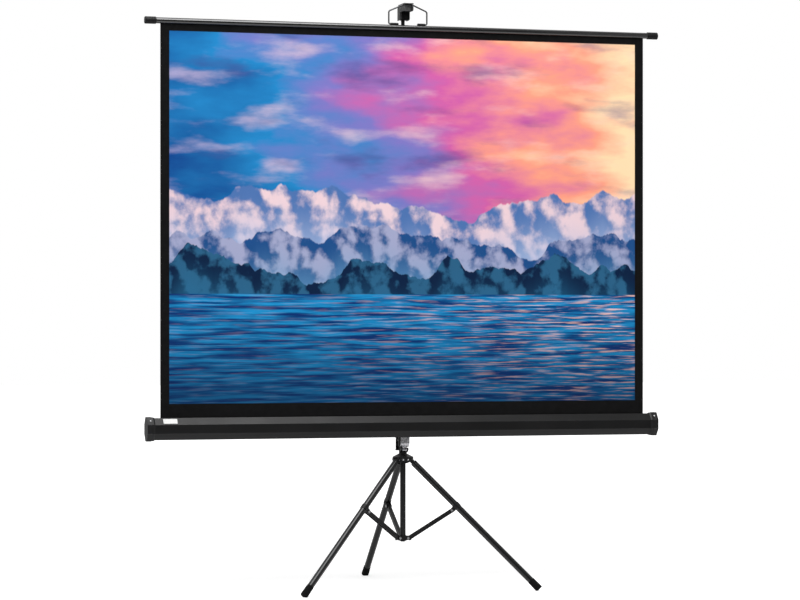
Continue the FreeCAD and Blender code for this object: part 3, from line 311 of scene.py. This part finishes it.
def screw_head_mesh():
    """A domed head with a cross recess, standing on its flat underside."""
    mesh = bpy.data.meshes.new("screw_head")
    work = bmesh.new()
    steps = range(HEAD_STEPS)

    def ring(shares, height):
        loop = []
        for step, share in zip(steps, shares):
            angle = math.tau * step / HEAD_STEPS
            radius = share * SCREW_HEAD_RADIUS
            loop.append(work.verts.new((
                radius * math.cos(angle), radius * math.sin(angle), height * SCREW_HEAD_HEIGHT)))
        return loop

    loops = [ring([share] * HEAD_STEPS, height) for share, height in HEAD_RING_SHARES]
    cross = [RECESS_WAIST_SHARE if step % (HEAD_STEPS // RECESS_ARMS) else RECESS_ARM_SHARE
             for step in steps]
    loops.append(ring(cross, RECESS_FLOOR_SHARE))
    for lower, upper in zip(loops, loops[1:]):
        for step in steps:
            following = (step + 1) % HEAD_STEPS
            work.faces.new((lower[step], lower[following], upper[following], upper[step]))
    work.faces.new(loops[-1])
    work.faces.new(list(reversed(loops[0])))
    bmesh.ops.recalc_face_normals(work, faces=work.faces)
    work.to_mesh(mesh)
    work.free()
    return mesh


def link_new(name, mesh):
    """A new object in the scene."""
    piece = bpy.data.objects.new(name, mesh)
    scene.collection.objects.link(piece)
    return piece


def scattered(name, places, form, material):
    """Geometry Nodes that set one form on each point, turned to the point's own normal."""
    points = bpy.data.meshes.new(f"{name}_places")
    points.from_pydata([tuple(place) for place, _ in places], [], [])
    facing = points.attributes.new("facing", "FLOAT_VECTOR", "POINT")
    for index, (_, normal) in enumerate(places):
        facing.data[index].vector = normal
    piece = link_new(name, points)
    tree = bpy.data.node_groups.new(f"{name}_nodes", "GeometryNodeTree")
    tree.interface.new_socket("Geometry", in_out="INPUT", socket_type="NodeSocketGeometry")
    tree.interface.new_socket("Geometry", in_out="OUTPUT", socket_type="NodeSocketGeometry")
    start = tree.nodes.new("NodeGroupInput")
    end = tree.nodes.new("NodeGroupOutput")
    source = tree.nodes.new("GeometryNodeObjectInfo")
    source.inputs["Object"].default_value = form
    direction = tree.nodes.new("GeometryNodeInputNamedAttribute")
    direction.data_type = "FLOAT_VECTOR"
    direction.inputs["Name"].default_value = "facing"
    turn = tree.nodes.new("FunctionNodeAlignRotationToVector")
    turn.axis = "Z"
    tree.links.new(direction.outputs["Attribute"], turn.inputs["Vector"])
    instances = tree.nodes.new("GeometryNodeInstanceOnPoints")
    tree.links.new(start.outputs["Geometry"], instances.inputs["Points"])
    tree.links.new(source.outputs["Geometry"], instances.inputs["Instance"])
    tree.links.new(turn.outputs["Rotation"], instances.inputs["Rotation"])
    real = tree.nodes.new("GeometryNodeRealizeInstances")
    tree.links.new(instances.outputs["Instances"], real.inputs["Geometry"])
    paint = tree.nodes.new("GeometryNodeSetMaterial")
    paint.inputs["Material"].default_value = material
    tree.links.new(real.outputs["Geometry"], paint.inputs["Geometry"])
    tree.links.new(paint.outputs["Geometry"], end.inputs["Geometry"])
    modifier = piece.modifiers.new("place", "NODES")
    modifier.node_group = tree
    made = bpy.data.meshes.new_from_object(
        piece.evaluated_get(bpy.context.evaluated_depsgraph_get()))
    piece.modifiers.remove(piece.modifiers["place"])
    piece.data = made
    bpy.data.objects.remove(form)
    return piece


bright_steel = turned_steel("bright_steel", (0.68, 0.68, 0.69), 0.18, 0.3)
hub_low, hub_high = (Vector(corner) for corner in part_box("leg_hub"))
pins_low, pins_high = (Vector(corner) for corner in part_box("leg_pivot_pins"))
hub_radius = (hub_high.x - hub_low.x) / 2
hub_middle = Vector((0, hub_low.y + hub_radius, (pins_low.z + pins_high.z) / 2 + HUB_SCREW_RISE))
hub_places = []
for stretch in range(len(SIDES)):
    for turn in (-HUB_SCREW_TURN, HUB_SCREW_TURN):
        angle = math.tau * (stretch / len(SIDES) - 0.25) + turn
        facing = Vector((math.cos(angle), math.sin(angle), 0))
        hub_places.append((hub_middle + facing * (hub_radius - HUB_SCREW_SINK), facing))
hub_screws = scattered(
    "hub_screws", hub_places, link_new("hub_screw_form", screw_head_mesh()), bright_steel)
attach(hub_screws, "stand")

# Centre tube, mast and carriage: three tubes, each sliding in the next. The carriage is the one
# that the hand holds, so its coat is the most polished.
slide_coat = skin(
    "slide_coat", BLACK_COAT, (0.03, 0.03, 0.032), 0.03,
    dict(Grain=1500.0, Drift=12.0, Gloss_Low=0.22, Gloss_High=0.36),
    dict(Patch=20.0, Amount=0.3), 0.000015, 0.3)
dress(slide_coat, "centre_tube", "mast_tube", "carriage_tube", "extension_pole")
dress(moulding, "catch_collar", "pole_clamp", "clamp_knob", "swivel_block", "swivel_washer")
dress(sheet_coat, "catch_lever", "case_saddle")

# Lock lever: a pressed steel tongue, bent twice and chromed, with a pad that the thumb presses
# forward and down.
lever_chrome = turned_steel("lever_chrome", (0.58, 0.58, 0.6), 0.2, 0.32)
dress(lever_chrome, "lock_lever")

# Case: an eight-sided shell folded from sheet metal and sprayed satin black, so that faint lines
# run along it, with a moulded cap over each end. The folds and the caps' edges are rubbed, and
# their lighter colour is also a painted highlight along the edges.
def make_worn_and_highlit_edges():
    """Rubbed edges of an eight-sided form, painted lighter also as a painted edge highlight: where
    two of its faces are about as near.
    """
    tree, start, end = node_group(
        "worn_and_highlit_edges",
        [("Middle Y", 0.0), ("Middle Z", 0.0), ("Deep", 0.025), ("Tall", 0.036),
         ("Slant Y", 0.8), ("Slant Z", 0.6), ("Slant", 0.0287), ("Width", 0.03)], ["Mask"])
    place = tree.nodes.new("ShaderNodeSeparateXYZ")
    tree.links.new(tree.nodes.new("ShaderNodeTexCoord").outputs["Object"], place.inputs[0])
    reach = []
    for axis in ("Y", "Z"):
        offset = math_node(tree, "SUBTRACT", place.outputs[axis], start.outputs[f"Middle {axis}"])
        reach.append(math_node(tree, "ABSOLUTE", offset, 0.0))
    front = math_node(tree, "DIVIDE", reach[0], start.outputs["Deep"])
    top = math_node(tree, "DIVIDE", reach[1], start.outputs["Tall"])
    leaning = math_node(
        tree, "ADD", math_node(tree, "MULTIPLY", reach[0], start.outputs["Slant Y"]),
        math_node(tree, "MULTIPLY", reach[1], start.outputs["Slant Z"]))
    slant = math_node(tree, "DIVIDE", leaning, start.outputs["Slant"])
    nearer = math_node(tree, "MAXIMUM", front, top)
    second = math_node(tree, "MAXIMUM", math_node(tree, "MINIMUM", front, top),
                       math_node(tree, "MINIMUM", nearer, slant))
    inner = math_node(tree, "SUBTRACT", 1.0, start.outputs["Width"])
    edge = spread(tree, second, inner, 1.0, 0.0, 1.0, True)
    broken = spread(tree, noise(tree, 70.0, 5.0), 0.35, 0.65, 0.25, 1.0)
    tree.links.new(math_node(tree, "MULTIPLY", edge, broken), end.inputs["Mask"])
    return tree


worn_and_highlit_edges = make_worn_and_highlit_edges()


def eight_sided(name, front_share, top_share):
    """A node's upper front slant about its middle, and the values of its rubbed edges with their
    painted highlight.
    """
    low, high = (Vector(corner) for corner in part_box(name))
    middle = (low + high) / 2
    half = (high - low) / 2
    lower = Vector((0, -half.y, half.z * front_share))
    upper = Vector((0, -half.y * top_share, half.z))
    rise = upper - lower
    normal = Vector((0, -rise.z, rise.y)).normalized()
    values = dict(Middle_Y=middle.y, Middle_Z=middle.z, Deep=half.y, Tall=half.z,
                  Slant_Y=-normal.y, Slant_Z=normal.z, Slant=normal.dot(lower))
    return middle, lower, rise, normal, values


SHELL_FLAT_SHARES = (0.4028, 0.34)
CAP_FLAT_SHARES = (0.389, 0.364)
CASE_POLISH = 0.1
shell_middle, shell_lower, shell_rise, shell_normal, shell_edges = eight_sided(
    "case_shell", *SHELL_FLAT_SHARES)
cap_middle, cap_lower, cap_rise, cap_normal, cap_edges = eight_sided(
    "case_cap_left", *CAP_FLAT_SHARES)

case_paint, case_tree, case_shader = new_material("case_paint", 0.24)
along = noise(case_tree, 60.0, 4.0, stretch=(0.01, 1, 1))
case_colour = blended(case_tree, along, (0.0042, 0.0042, 0.0044), (0.0065, 0.0065, 0.0068))
# The edge mask paints the folds lighter: rubbed paint, and a painted highlight along the edges.
case_edge_wear_and_highlight = placed_group(case_tree, worn_and_highlit_edges, Width=0.035, **shell_edges)
case_worn_and_highlit = blended(case_tree, case_edge_wear_and_highlight.outputs["Mask"], case_colour, (0.02, 0.02, 0.0205))
case_film = placed_group(case_tree, settled_dust, Amount=0.03)
case_dusty = blended(case_tree, case_film.outputs["Mask"], case_worn_and_highlit, DUST_COLOUR)
case_tree.links.new(case_dusty, case_shader.inputs["Base Color"])
case_grain = placed_group(
    case_tree, orange_peel, Grain=900.0, Drift=7.0, Gloss_Low=0.3, Gloss_High=0.4)
case_polish = math_node(case_tree, "MULTIPLY", case_edge_wear_and_highlight.outputs["Mask"], CASE_POLISH)
case_gloss = math_node(case_tree, "SUBTRACT", case_grain.outputs["Roughness"], case_polish)
case_tree.links.new(case_gloss, case_shader.inputs["Roughness"])
case_lines = noise(case_tree, 500.0, 2.0, stretch=(0.004, 1, 1))
case_relief = math_node(case_tree, "ADD", case_grain.outputs["Height"], case_lines)
add_relief(case_tree, case_shader, case_relief, 0.00003)
dress(case_paint, "case_shell")
# The edge mask paints the caps' edges lighter: rubbed plastic, and a painted highlight along them.
cap_moulding = skin(
    "cap_moulding", (0.0055, 0.0055, 0.0058), (0.034, 0.034, 0.035), 0.035,
    dict(Grain=2600.0, Drift=24.0, Gloss_Low=0.36, Gloss_High=0.5),
    dict(Patch=60.0, Amount=0.25), 0.00005, 0.25, (worn_and_highlit_edges, dict(Width=0.06, **cap_edges)))
dress(cap_moulding, "case_cap_left", "case_cap_right")
dress(moulding, "roller_plug_left", "roller_plug_right")
dress(plated_steel, "bearing_left", "bearing_right", "spring_spindle", "roller_tube",
      "roller_spring")

# Cap screws: the same heads, one on the front and one on the rear slant of each cap, that hold the
# cap to the shell.
SCREW_FROM_END = 0.0115
SLANT_SHARE = 0.5

screw_places = []
for cap, corner, inward in (("case_cap_left", 0, 1), ("case_cap_right", 1, -1)):
    end_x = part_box(cap)[corner][0]
    for mirror in (1, -1):
        on_slant = cap_middle + cap_lower + cap_rise * SLANT_SHARE
        place = Vector((end_x + inward * SCREW_FROM_END, on_slant.y, on_slant.z))
        facing = cap_normal.copy()
        if mirror < 0:
            place.y = 2 * cap_middle.y - place.y
            facing.y = -facing.y
        screw_places.append((place, facing))
cap_screws = scattered(
    "cap_screws", screw_places, link_new("screw_head_form", screw_head_mesh()), bright_steel)
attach(cap_screws, "carriage")

# Label: a bare white paper label with rounded corners, stuck on the left end of the case's upper
# front slant.
LABEL_START = -0.8355
LABEL_LENGTH = 0.0465
LABEL_SHARES = (0.17, 0.86)
LABEL_LIFT = 0.0003
LABEL_CORNER = 0.0025
CORNER_STEPS = 5

label_paper, label_tree, label_shader = new_material("label_paper", 0.4)
fibre = noise(label_tree, 700.0, 4.0)
label_colour = blended(label_tree, fibre, (0.72, 0.72, 0.71), (0.82, 0.82, 0.81))
label_tree.links.new(label_colour, label_shader.inputs["Base Color"])
label_grain = placed_group(
    label_tree, orange_peel, Grain=1200.0, Drift=40.0, Gloss_Low=0.4, Gloss_High=0.55)
label_tree.links.new(label_grain.outputs["Roughness"], label_shader.inputs["Roughness"])
add_relief(label_tree, label_shader, fibre, 0.00002)

label_base = shell_middle + shell_lower + shell_rise * LABEL_SHARES[0]
label_up = shell_rise.normalized()
label_height = shell_rise.length * (LABEL_SHARES[1] - LABEL_SHARES[0])


def rounded_corners(width, height, corner, steps):
    """Corners of a plate with rounded corners, counted from its lower left."""
    points = []
    for centre_x, centre_y, quarter in (
            (width - corner, corner, 3), (width - corner, height - corner, 0),
            (corner, height - corner, 1), (corner, corner, 2)):
        for step in range(steps + 1):
            angle = math.tau / 4 * (quarter + step / steps)
            points.append((
                centre_x + corner * math.cos(angle), centre_y + corner * math.sin(angle)))
    return points


label_mesh = bpy.data.meshes.new("case_label")
label_work = bmesh.new()
label_loops = []
for lift in (0.0, LABEL_LIFT):
    label_loop = []
    for across, up in rounded_corners(LABEL_LENGTH, label_height, LABEL_CORNER, CORNER_STEPS):
        point = label_base + label_up * up + shell_normal * lift
        label_loop.append(label_work.verts.new((LABEL_START + across, point.y, point.z)))
    label_work.faces.new(label_loop)
    label_loops.append(label_loop)
for step, (stuck, raised) in enumerate(zip(*label_loops)):
    label_work.faces.new((label_loops[0][step - 1], stuck, raised, label_loops[1][step - 1]))
bmesh.ops.recalc_face_normals(label_work, faces=label_work.faces)
label_work.to_mesh(label_mesh)
label_work.free()
label_mesh.materials.append(label_paper)
case_label = link_new("case_label", label_mesh)
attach(case_label, "carriage")

# Screen fabric: matt white cloth with a black backing and a black printed border. It is wound on
# the roller in the case, and its top edge is held in the slot of the rail. It is shown with a
# picture on it: a lake under a ridge at dusk.
PICTURE_WIDTH = 1.626
PICTURE_HEIGHT = 1.219
PICTURE_FROM_RAIL = 0.0255
FABRIC_COLUMNS = 48
FABRIC_ROWS = 40
FACE_THREADS = 900.0
BACK_THREADS = 700.0
WEAVE_DEPTH = 0.00004
EDGE_SOFTNESS = 0.0006
SHORE_HEIGHT = 0.36
SHORE_SOFTNESS = 0.002
NEW_STOP_SHARE = 0.5

fabric_low, fabric_high = (Vector(corner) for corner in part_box("screen_fabric"))
picture_top = fabric_high.z - PICTURE_FROM_RAIL
picture_bottom = picture_top - PICTURE_HEIGHT


def fabric_mesh():
    """A thin closed sheet; its UV map is in metres from the picture's lower middle."""
    mesh = bpy.data.meshes.new("screen_cloth")
    work = bmesh.new()
    uv = work.loops.layers.uv.new("UVMap")
    grids = []
    for depth in (fabric_low.y, fabric_high.y):
        grid = []
        for row in range(FABRIC_ROWS + 1):
            height = fabric_low.z + (fabric_high.z - fabric_low.z) * row / FABRIC_ROWS
            points = []
            for column in range(FABRIC_COLUMNS + 1):
                across = fabric_low.x + (fabric_high.x - fabric_low.x) * column / FABRIC_COLUMNS
                points.append(work.verts.new((across, depth, height)))
            grid.append(points)
        grids.append(grid)
    front, back = grids
    for row in range(FABRIC_ROWS):
        for column in range(FABRIC_COLUMNS):
            corners = ((row, column), (row, column + 1), (row + 1, column + 1), (row + 1, column))
            work.faces.new([front[r][c] for r, c in corners])
            face = work.faces.new([back[r][c] for r, c in reversed(corners)])
            face.material_index = 1
    rim = [(0, column) for column in range(FABRIC_COLUMNS)]
    rim += [(row, FABRIC_COLUMNS) for row in range(FABRIC_ROWS)]
    rim += [(FABRIC_ROWS, column) for column in range(FABRIC_COLUMNS, 0, -1)]
    rim += [(row, 0) for row in range(FABRIC_ROWS, 0, -1)]
    for (row, column), (next_row, next_column) in zip(rim, rim[1:] + rim[:1]):
        face = work.faces.new((
            front[row][column], back[row][column],
            back[next_row][next_column], front[next_row][next_column]))
        face.material_index = 1
    bmesh.ops.recalc_face_normals(work, faces=work.faces)
    for face in work.faces:
        for loop in face.loops:
            loop[uv].uv = (loop.vert.co.x, loop.vert.co.z - picture_bottom)
    work.to_mesh(mesh)
    work.free()
    return mesh


def add_weave(tree, shader, uv_socket, threads):
    """Plain weave: two sets of threads across each other."""
    separate = tree.nodes.new("ShaderNodeSeparateXYZ")
    tree.links.new(uv_socket, separate.inputs[0])
    waves = []
    for axis in ("X", "Y"):
        turns = math_node(tree, "MULTIPLY", separate.outputs[axis], threads * math.tau)
        waves.append(math_node(tree, "SINE", turns, 0.0))
    cloth = math_node(tree, "MULTIPLY", waves[0], waves[1])
    add_relief(tree, shader, cloth, WEAVE_DEPTH)
    return separate


def ridge(tree, across, offset, scale, base, height):
    """The height of one ridge line along the picture."""
    moved = math_node(tree, "ADD", across, offset)
    texture = tree.nodes.new("ShaderNodeTexNoise")
    texture.noise_dimensions = "1D"
    texture.inputs["Scale"].default_value = scale
    texture.inputs["Detail"].default_value = 7.0
    texture.inputs["Roughness"].default_value = 0.52
    tree.links.new(moved, texture.inputs["W"])
    return math_node(tree, "ADD", base, math_node(tree, "MULTIPLY", texture.outputs["Fac"], height))


def below(tree, up, line, softness):
    """One under a line of the picture and nothing over it."""
    gap = math_node(tree, "SUBTRACT", line, up)
    return spread(tree, gap, -softness, softness, 0.0, 1.0, True)


def lit_rock(tree, uv, scale, offset):
    """Slopes that face the low sun are one, and those turned away nothing."""
    stretch = (1.0, 0.8, 1)
    here = noise(tree, scale, 9.0, uv, stretch, (offset, 0, 0))
    beside = noise(tree, scale, 9.0, uv, stretch, (offset + 0.024, 0.016, 0))
    return spread(tree, math_node(tree, "SUBTRACT", here, beside), -0.07, 0.09, 0.0, 1.0, True)


def paint_picture(tree, across, up):
    """A dusk over a lake: warm clouds, three rocky ridges in haze, and rippled water."""
    uv = tree.nodes.new("ShaderNodeUVMap").outputs["UV"]
    sunward = math_node(tree, "ADD", across, math_node(tree, "MULTIPLY", up, 0.35))
    warmth = spread(tree, sunward, -0.7, 1.1, 0, 1)
    sky = tree.nodes.new("ShaderNodeValToRGB")
    stops = [(0.0, (0.004, 0.05, 0.24)), (0.3, (0.015, 0.22, 0.52)), (0.5, (0.2, 0.17, 0.5)),
             (0.68, (0.6, 0.11, 0.36)), (0.85, (0.92, 0.33, 0.22)), (1.0, (1.0, 0.7, 0.42))]
    while len(sky.color_ramp.elements) < len(stops):
        sky.color_ramp.elements.new(NEW_STOP_SHARE)
    for element, (place, colour) in zip(sky.color_ramp.elements, stops):
        element.position = place
        element.color = (*colour, 1.0)
    cloud = noise(tree, 3.2, 8.0, uv, (0.8, 2.1, 1))
    swirl = math_node(tree, "MULTIPLY", math_node(tree, "SUBTRACT", cloud, 0.5), 0.75)
    tree.links.new(math_node(tree, "ADD", warmth, swirl), sky.inputs["Fac"])
    cloud_edge = spread(tree, noise(tree, 5.5, 9.0, uv, (0.6, 1.9, 1)), 0.5, 0.74, 0.0, 0.7, True)
    cloud_light = blended(tree, warmth, (0.5, 0.42, 0.66), (1.0, 0.66, 0.5))
    picture = blended(tree, cloud_edge, sky.outputs["Color"], cloud_light)
    under_cloud = noise(tree, 4.1, 9.0, uv, (0.7, 2.4, 1), (1.7, 0.4, 0))
    cloud_shade = spread(tree, under_cloud, 0.52, 0.75, 0.0, 0.6, True)
    picture = blended(tree, cloud_shade, picture, (0.05, 0.05, 0.22))
    ridges = (
        (3.1, 1.7, 0.47, 0.42, 0.004, 7.0,
         (0.07, 0.16, 0.4), (0.8, 0.6, 0.64), (0.4, 0.5, 0.72)),
        (9.4, 2.3, 0.37, 0.36, 0.003, 9.0,
         (0.012, 0.07, 0.23), (0.34, 0.36, 0.54), (0.14, 0.34, 0.56)),
        (5.7, 3.1, 0.3, 0.3, 0.002, 13.0,
         (0.002, 0.014, 0.05), (0.022, 0.11, 0.22), (0.02, 0.15, 0.3)))
    for offset, scale, base, height, softness, grain, shaded, sunlit, haze in ridges:
        line = ridge(tree, across, offset, scale, base, height)
        depth = spread(tree, math_node(tree, "SUBTRACT", line, up), 0.02, 0.26, 0.0, 0.8, True)
        rock = blended(tree, lit_rock(tree, uv, grain, offset), shaded, sunlit)
        hazed = blended(tree, depth, rock, haze)
        picture = blended(tree, below(tree, up, line, softness), picture, hazed)
    ripple = noise(tree, 9.0, 7.0, uv, (0.5, 9.0, 1))
    glint = noise(tree, 26.0, 6.0, uv, (0.35, 6.0, 1))
    crest = spread(tree, ripple, 0.35, 0.66, 0.0, 1.0, True)
    water = blended(tree, crest, (0.002, 0.03, 0.15), (0.012, 0.26, 0.56))
    path = math_node(tree, "MULTIPLY", spread(tree, glint, 0.5, 0.68, 0.0, 1.0, True),
                     spread(tree, across, -0.35, 0.75, 0.1, 1.0))
    water = blended(tree, math_node(tree, "MULTIPLY", path, 0.85), water, (0.95, 0.56, 0.46))
    near = spread(tree, up, 0.0, 0.3, 0.75, 0.0)
    water = blended(tree, near, water, (0.002, 0.015, 0.06))
    return blended(tree, below(tree, up, SHORE_HEIGHT, SHORE_SOFTNESS), picture, water)


screen_face, face_tree, face_shader = new_material("screen_face", 0.08)
face_uv = face_tree.nodes.new("ShaderNodeUVMap").outputs["UV"]
face_axes = add_weave(face_tree, face_shader, face_uv, FACE_THREADS)
picture_colour = paint_picture(face_tree, face_axes.outputs["X"], face_axes.outputs["Y"])
half_width = PICTURE_WIDTH / 2
half_height = PICTURE_HEIGHT / 2
from_middle = math_node(face_tree, "SUBTRACT", face_axes.outputs["Y"], half_height)
sideways = math_node(face_tree, "ABSOLUTE", face_axes.outputs["X"], 0.0)
upwards = math_node(face_tree, "ABSOLUTE", from_middle, 0.0)
in_width = spread(
    face_tree, sideways, half_width - EDGE_SOFTNESS, half_width + EDGE_SOFTNESS, 1.0, 0.0)
in_height = spread(
    face_tree, upwards, half_height - EDGE_SOFTNESS, half_height + EDGE_SOFTNESS, 1.0, 0.0)
in_picture = math_node(face_tree, "MULTIPLY", in_width, in_height)
border_tone = spread(face_tree, noise(face_tree, 40.0, 4.0), 0.3, 0.7, 0.0, 1.0)
border = blended(face_tree, border_tone, (0.004, 0.004, 0.0042), (0.006, 0.006, 0.0063))
printed = blended(face_tree, in_picture, border, picture_colour)
face_tree.links.new(printed, face_shader.inputs["Base Color"])
face_gloss = spread(face_tree, noise(face_tree, 6.0, 3.0), 0.3, 0.7, 0.72, 0.86)
face_tree.links.new(face_gloss, face_shader.inputs["Roughness"])

screen_back, back_tree, back_shader = new_material("screen_back", 0.2)
back_uv = back_tree.nodes.new("ShaderNodeUVMap").outputs["UV"]
add_weave(back_tree, back_shader, back_uv, BACK_THREADS)
back_tone = spread(back_tree, noise(back_tree, 12.0, 5.0), 0.3, 0.7, 0.0, 1.0)
back_colour = blended(back_tree, back_tone, (0.009, 0.009, 0.0095), (0.016, 0.016, 0.017))
back_tree.links.new(back_colour, back_shader.inputs["Base Color"])
back_gloss = spread(back_tree, noise(back_tree, 30.0, 3.0), 0.3, 0.7, 0.62, 0.8)
back_tree.links.new(back_gloss, back_shader.inputs["Roughness"])

screen_cloth = link_new("screen_cloth", fabric_mesh())
screen_cloth.data.materials.append(screen_face)
screen_cloth.data.materials.append(screen_back)
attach(screen_cloth, "top_rail")
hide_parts("screen_fabric")
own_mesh(screen_cloth)
dress(screen_back, "fabric_wrap")

# Top rail: a slim steel tube, slotted below for the fabric's edge, with moulded caps. The clips of
# the wire bail are riveted on its middle.
rail_paint = skin(
    "rail_paint", (0.0045, 0.0045, 0.0048), (0.02, 0.02, 0.021), 0.02,
    dict(Grain=1300.0, Drift=9.0, Gloss_Low=0.12, Gloss_High=0.18),
    dict(Patch=18.0, Amount=0.15), 0.000006, 0.95)
dress(rail_paint, "top_rail")
dress(moulding, "rail_cap_left", "rail_cap_right")
dress(sheet_coat, "bail_clips")
dress(blackened_steel, "bail_wire")

# Hook head: a folded steel arm over a moulded block on the pole's top; the bail hangs in its slots.
# The arm is phosphated, so it is greyer and duller than the painted pieces, and the part of the
# block inside it is painted pale grey as painted light, where the recess under the arm lies in
# shade.
ARM_WALL_DROP = 0.027
LIT_PATCH_SOFTNESS = 0.002


def make_painted_light_above():
    """Painted light on all that lies over a height: a pale patch standing in for light in a shaded
    recess.
    """
    tree, start, end = node_group("painted_light_above", [("Height", 0.0)], ["Mask"])
    place = tree.nodes.new("ShaderNodeSeparateXYZ")
    tree.links.new(tree.nodes.new("ShaderNodeTexCoord").outputs["Object"], place.inputs[0])
    over = math_node(tree, "SUBTRACT", place.outputs["Z"], start.outputs["Height"])
    edge = spread(tree, over, 0.0, LIT_PATCH_SOFTNESS, 0.0, 1.0)
    broken = spread(tree, noise(tree, 90.0, 5.0), 0.35, 0.65, 0.6, 1.0)
    tree.links.new(math_node(tree, "MULTIPLY", edge, broken), end.inputs["Mask"])
    return tree


arm_phosphate = skin(
    "arm_phosphate", (0.065, 0.065, 0.066), (0.12, 0.12, 0.122), 0.03,
    dict(Grain=1900.0, Drift=50.0, Gloss_Low=0.5, Gloss_High=0.66),
    dict(Patch=70.0, Amount=0.3), 0.00004, 0.12)
dress(arm_phosphate, "hook_arm")
dress(blackened_steel, "hook_rivet")
# The block's pale colour is painted light over the arm's wall, in the shaded recess inside the arm;
# elsewhere it is only a faint scuff.
block_moulding = skin(
    "block_moulding", (0.0022, 0.0022, 0.0024), (0.15, 0.15, 0.152), 0.02,
    dict(Grain=2200.0, Drift=40.0, Gloss_Low=0.5, Gloss_High=0.66),
    dict(Patch=80.0, Amount=0.02), 0.00005, 0.1,
    (make_painted_light_above(), dict(Height=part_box("hook_arm")[0][2] + ARM_WALL_DROP)))
dress(block_moulding, "hook_block")

# Studio: a pale floor that runs to a white background, one large soft lamp overhead in front with
# weaker ones on both sides, and a long lens at the height of the picture's lower third.
CAMERA_AZIMUTH = math.radians(-16.38)
CAMERA_DISTANCE = 9.334
CAMERA_HEIGHT = 0.8884
LENS = 123.19
SENSOR = 36.0
SHIFT = (0.0085, 0.0299)
CLIP_END = 100.0
FLOOR_REACH = 30.0
FLOOR_ROUGHNESS = 0.9
FLOOR_SHINE = 0.2

forward = Vector((-math.sin(CAMERA_AZIMUTH), math.cos(CAMERA_AZIMUTH), 0))
camera_data = bpy.data.cameras.new("camera")
camera_data.lens = LENS
camera_data.sensor_width = SENSOR
camera_data.shift_x, camera_data.shift_y = SHIFT
camera_data.clip_end = CLIP_END
camera = bpy.data.objects.new("camera", camera_data)
scene.collection.objects.link(camera)
camera.location = Vector((0, 0, CAMERA_HEIGHT)) - forward * CAMERA_DISTANCE
camera.rotation_euler = forward.to_track_quat("-Z", "Y").to_euler()
scene.camera = camera


def soft_lamp(name, place, target, size, power):
    """A rectangular lamp that looks at a point."""
    data = bpy.data.lights.new(name, "AREA")
    data.shape = "RECTANGLE"
    data.size, data.size_y = size
    data.energy = power
    lamp = bpy.data.objects.new(name, data)
    lamp.location = place
    lamp.rotation_euler = (Vector(target) - Vector(place)).to_track_quat("-Z", "Y").to_euler()
    scene.collection.objects.link(lamp)


soft_lamp("key_lamp", (-0.3, -2.4, 4.4), (-0.3, -2.0, 0.0), (2.4, 3.4), 165.0)
soft_lamp("side_lamp", (-3.6, -3.8, 4.6), (-0.2, 0, 1.0), (3.0, 2.4), 20.0)
soft_lamp("fill_lamp", (3.4, -4.6, 2.2), (0, 0, 1.0), (2.4, 2.4), 12.0)

floor_mesh = bpy.data.meshes.new("floor")
floor_mesh.from_pydata(
    [(-FLOOR_REACH, -FLOOR_REACH, 0), (FLOOR_REACH, -FLOOR_REACH, 0),
     (FLOOR_REACH, FLOOR_REACH, 0), (-FLOOR_REACH, FLOOR_REACH, 0)], [], [(0, 1, 2, 3)])
floor = link_new("floor", floor_mesh)
floor_paint, floor_tree, floor_shader = new_material("floor_paint", 0.1)
floor_shader.inputs["Roughness"].default_value = FLOOR_ROUGHNESS
floor_shader.inputs["Emission Color"].default_value = (1, 1, 1, 1)
floor_light = floor_tree.nodes.new("ShaderNodeLightPath")
floor_away = floor_tree.nodes.new("ShaderNodeVectorMath")
floor_away.operation = "LENGTH"
floor_place = floor_tree.nodes.new("ShaderNodeTexCoord").outputs["Object"]
floor_tree.links.new(floor_place, floor_away.inputs[0])
floor_near = spread(floor_tree, floor_away.outputs["Value"], 1.5, 5.0, 1.0, 0.15, True)
floor_mirrored = spread(floor_tree, floor_light.outputs["Is Glossy Ray"], 0, 1, 1.0, floor_near)
floor_colour = blended(floor_tree, floor_mirrored, (0, 0, 0), (0.86, 0.86, 0.86))
floor_tree.links.new(floor_colour, floor_shader.inputs["Base Color"])
floor_glow = spread(floor_tree, floor_away.outputs["Value"], 0.8, 4.5, 0.6, 1.0, True)
floor_seen = math_node(floor_tree, "MULTIPLY", floor_light.outputs["Is Camera Ray"], floor_glow)
floor_sheen = math_node(floor_tree, "MULTIPLY", floor_near, FLOOR_SHINE)
floor_shine = math_node(floor_tree, "MULTIPLY", floor_light.outputs["Is Glossy Ray"], floor_sheen)
floor_emission = math_node(floor_tree, "ADD", floor_seen, floor_shine)
floor_tree.links.new(floor_emission, floor_shader.inputs["Emission Strength"])
floor_mesh.materials.append(floor_paint)

world = bpy.data.worlds.new("studio")
scene.world = world
world.use_nodes = True
sky_tree = world.node_tree
sky_background = sky_tree.nodes["Background"]
sky_background.inputs["Color"].default_value = (1, 1, 1, 1)
sky_light = sky_tree.nodes.new("ShaderNodeLightPath")
sky_way = sky_tree.nodes.new("ShaderNodeSeparateXYZ")
sky_place = sky_tree.nodes.new("ShaderNodeTexCoord").outputs["Generated"]
sky_tree.links.new(sky_place, sky_way.inputs[0])
sky_behind = spread(sky_tree, sky_way.outputs["Y"], -0.8, 0.1, 0.1, 1.0, True)
sky_over = spread(sky_tree, sky_way.outputs["Z"], 0.25, 0.8, 0.1, 0.35, True)
sky_mirrored = math_node(sky_tree, "MAXIMUM", sky_behind, sky_over)
sky_level = spread(sky_tree, sky_light.outputs["Is Glossy Ray"], 0, 1, 0.45, sky_mirrored)
sky_seen = math_node(
    sky_tree, "MAXIMUM", sky_light.outputs["Is Camera Ray"],
    sky_light.outputs["Is Transmission Ray"])
sky_strength = spread(sky_tree, sky_seen, 0, 1, sky_level, 1.0)
sky_tree.links.new(sky_strength, sky_background.inputs["Strength"])
scene.view_settings.view_transform = "Standard"
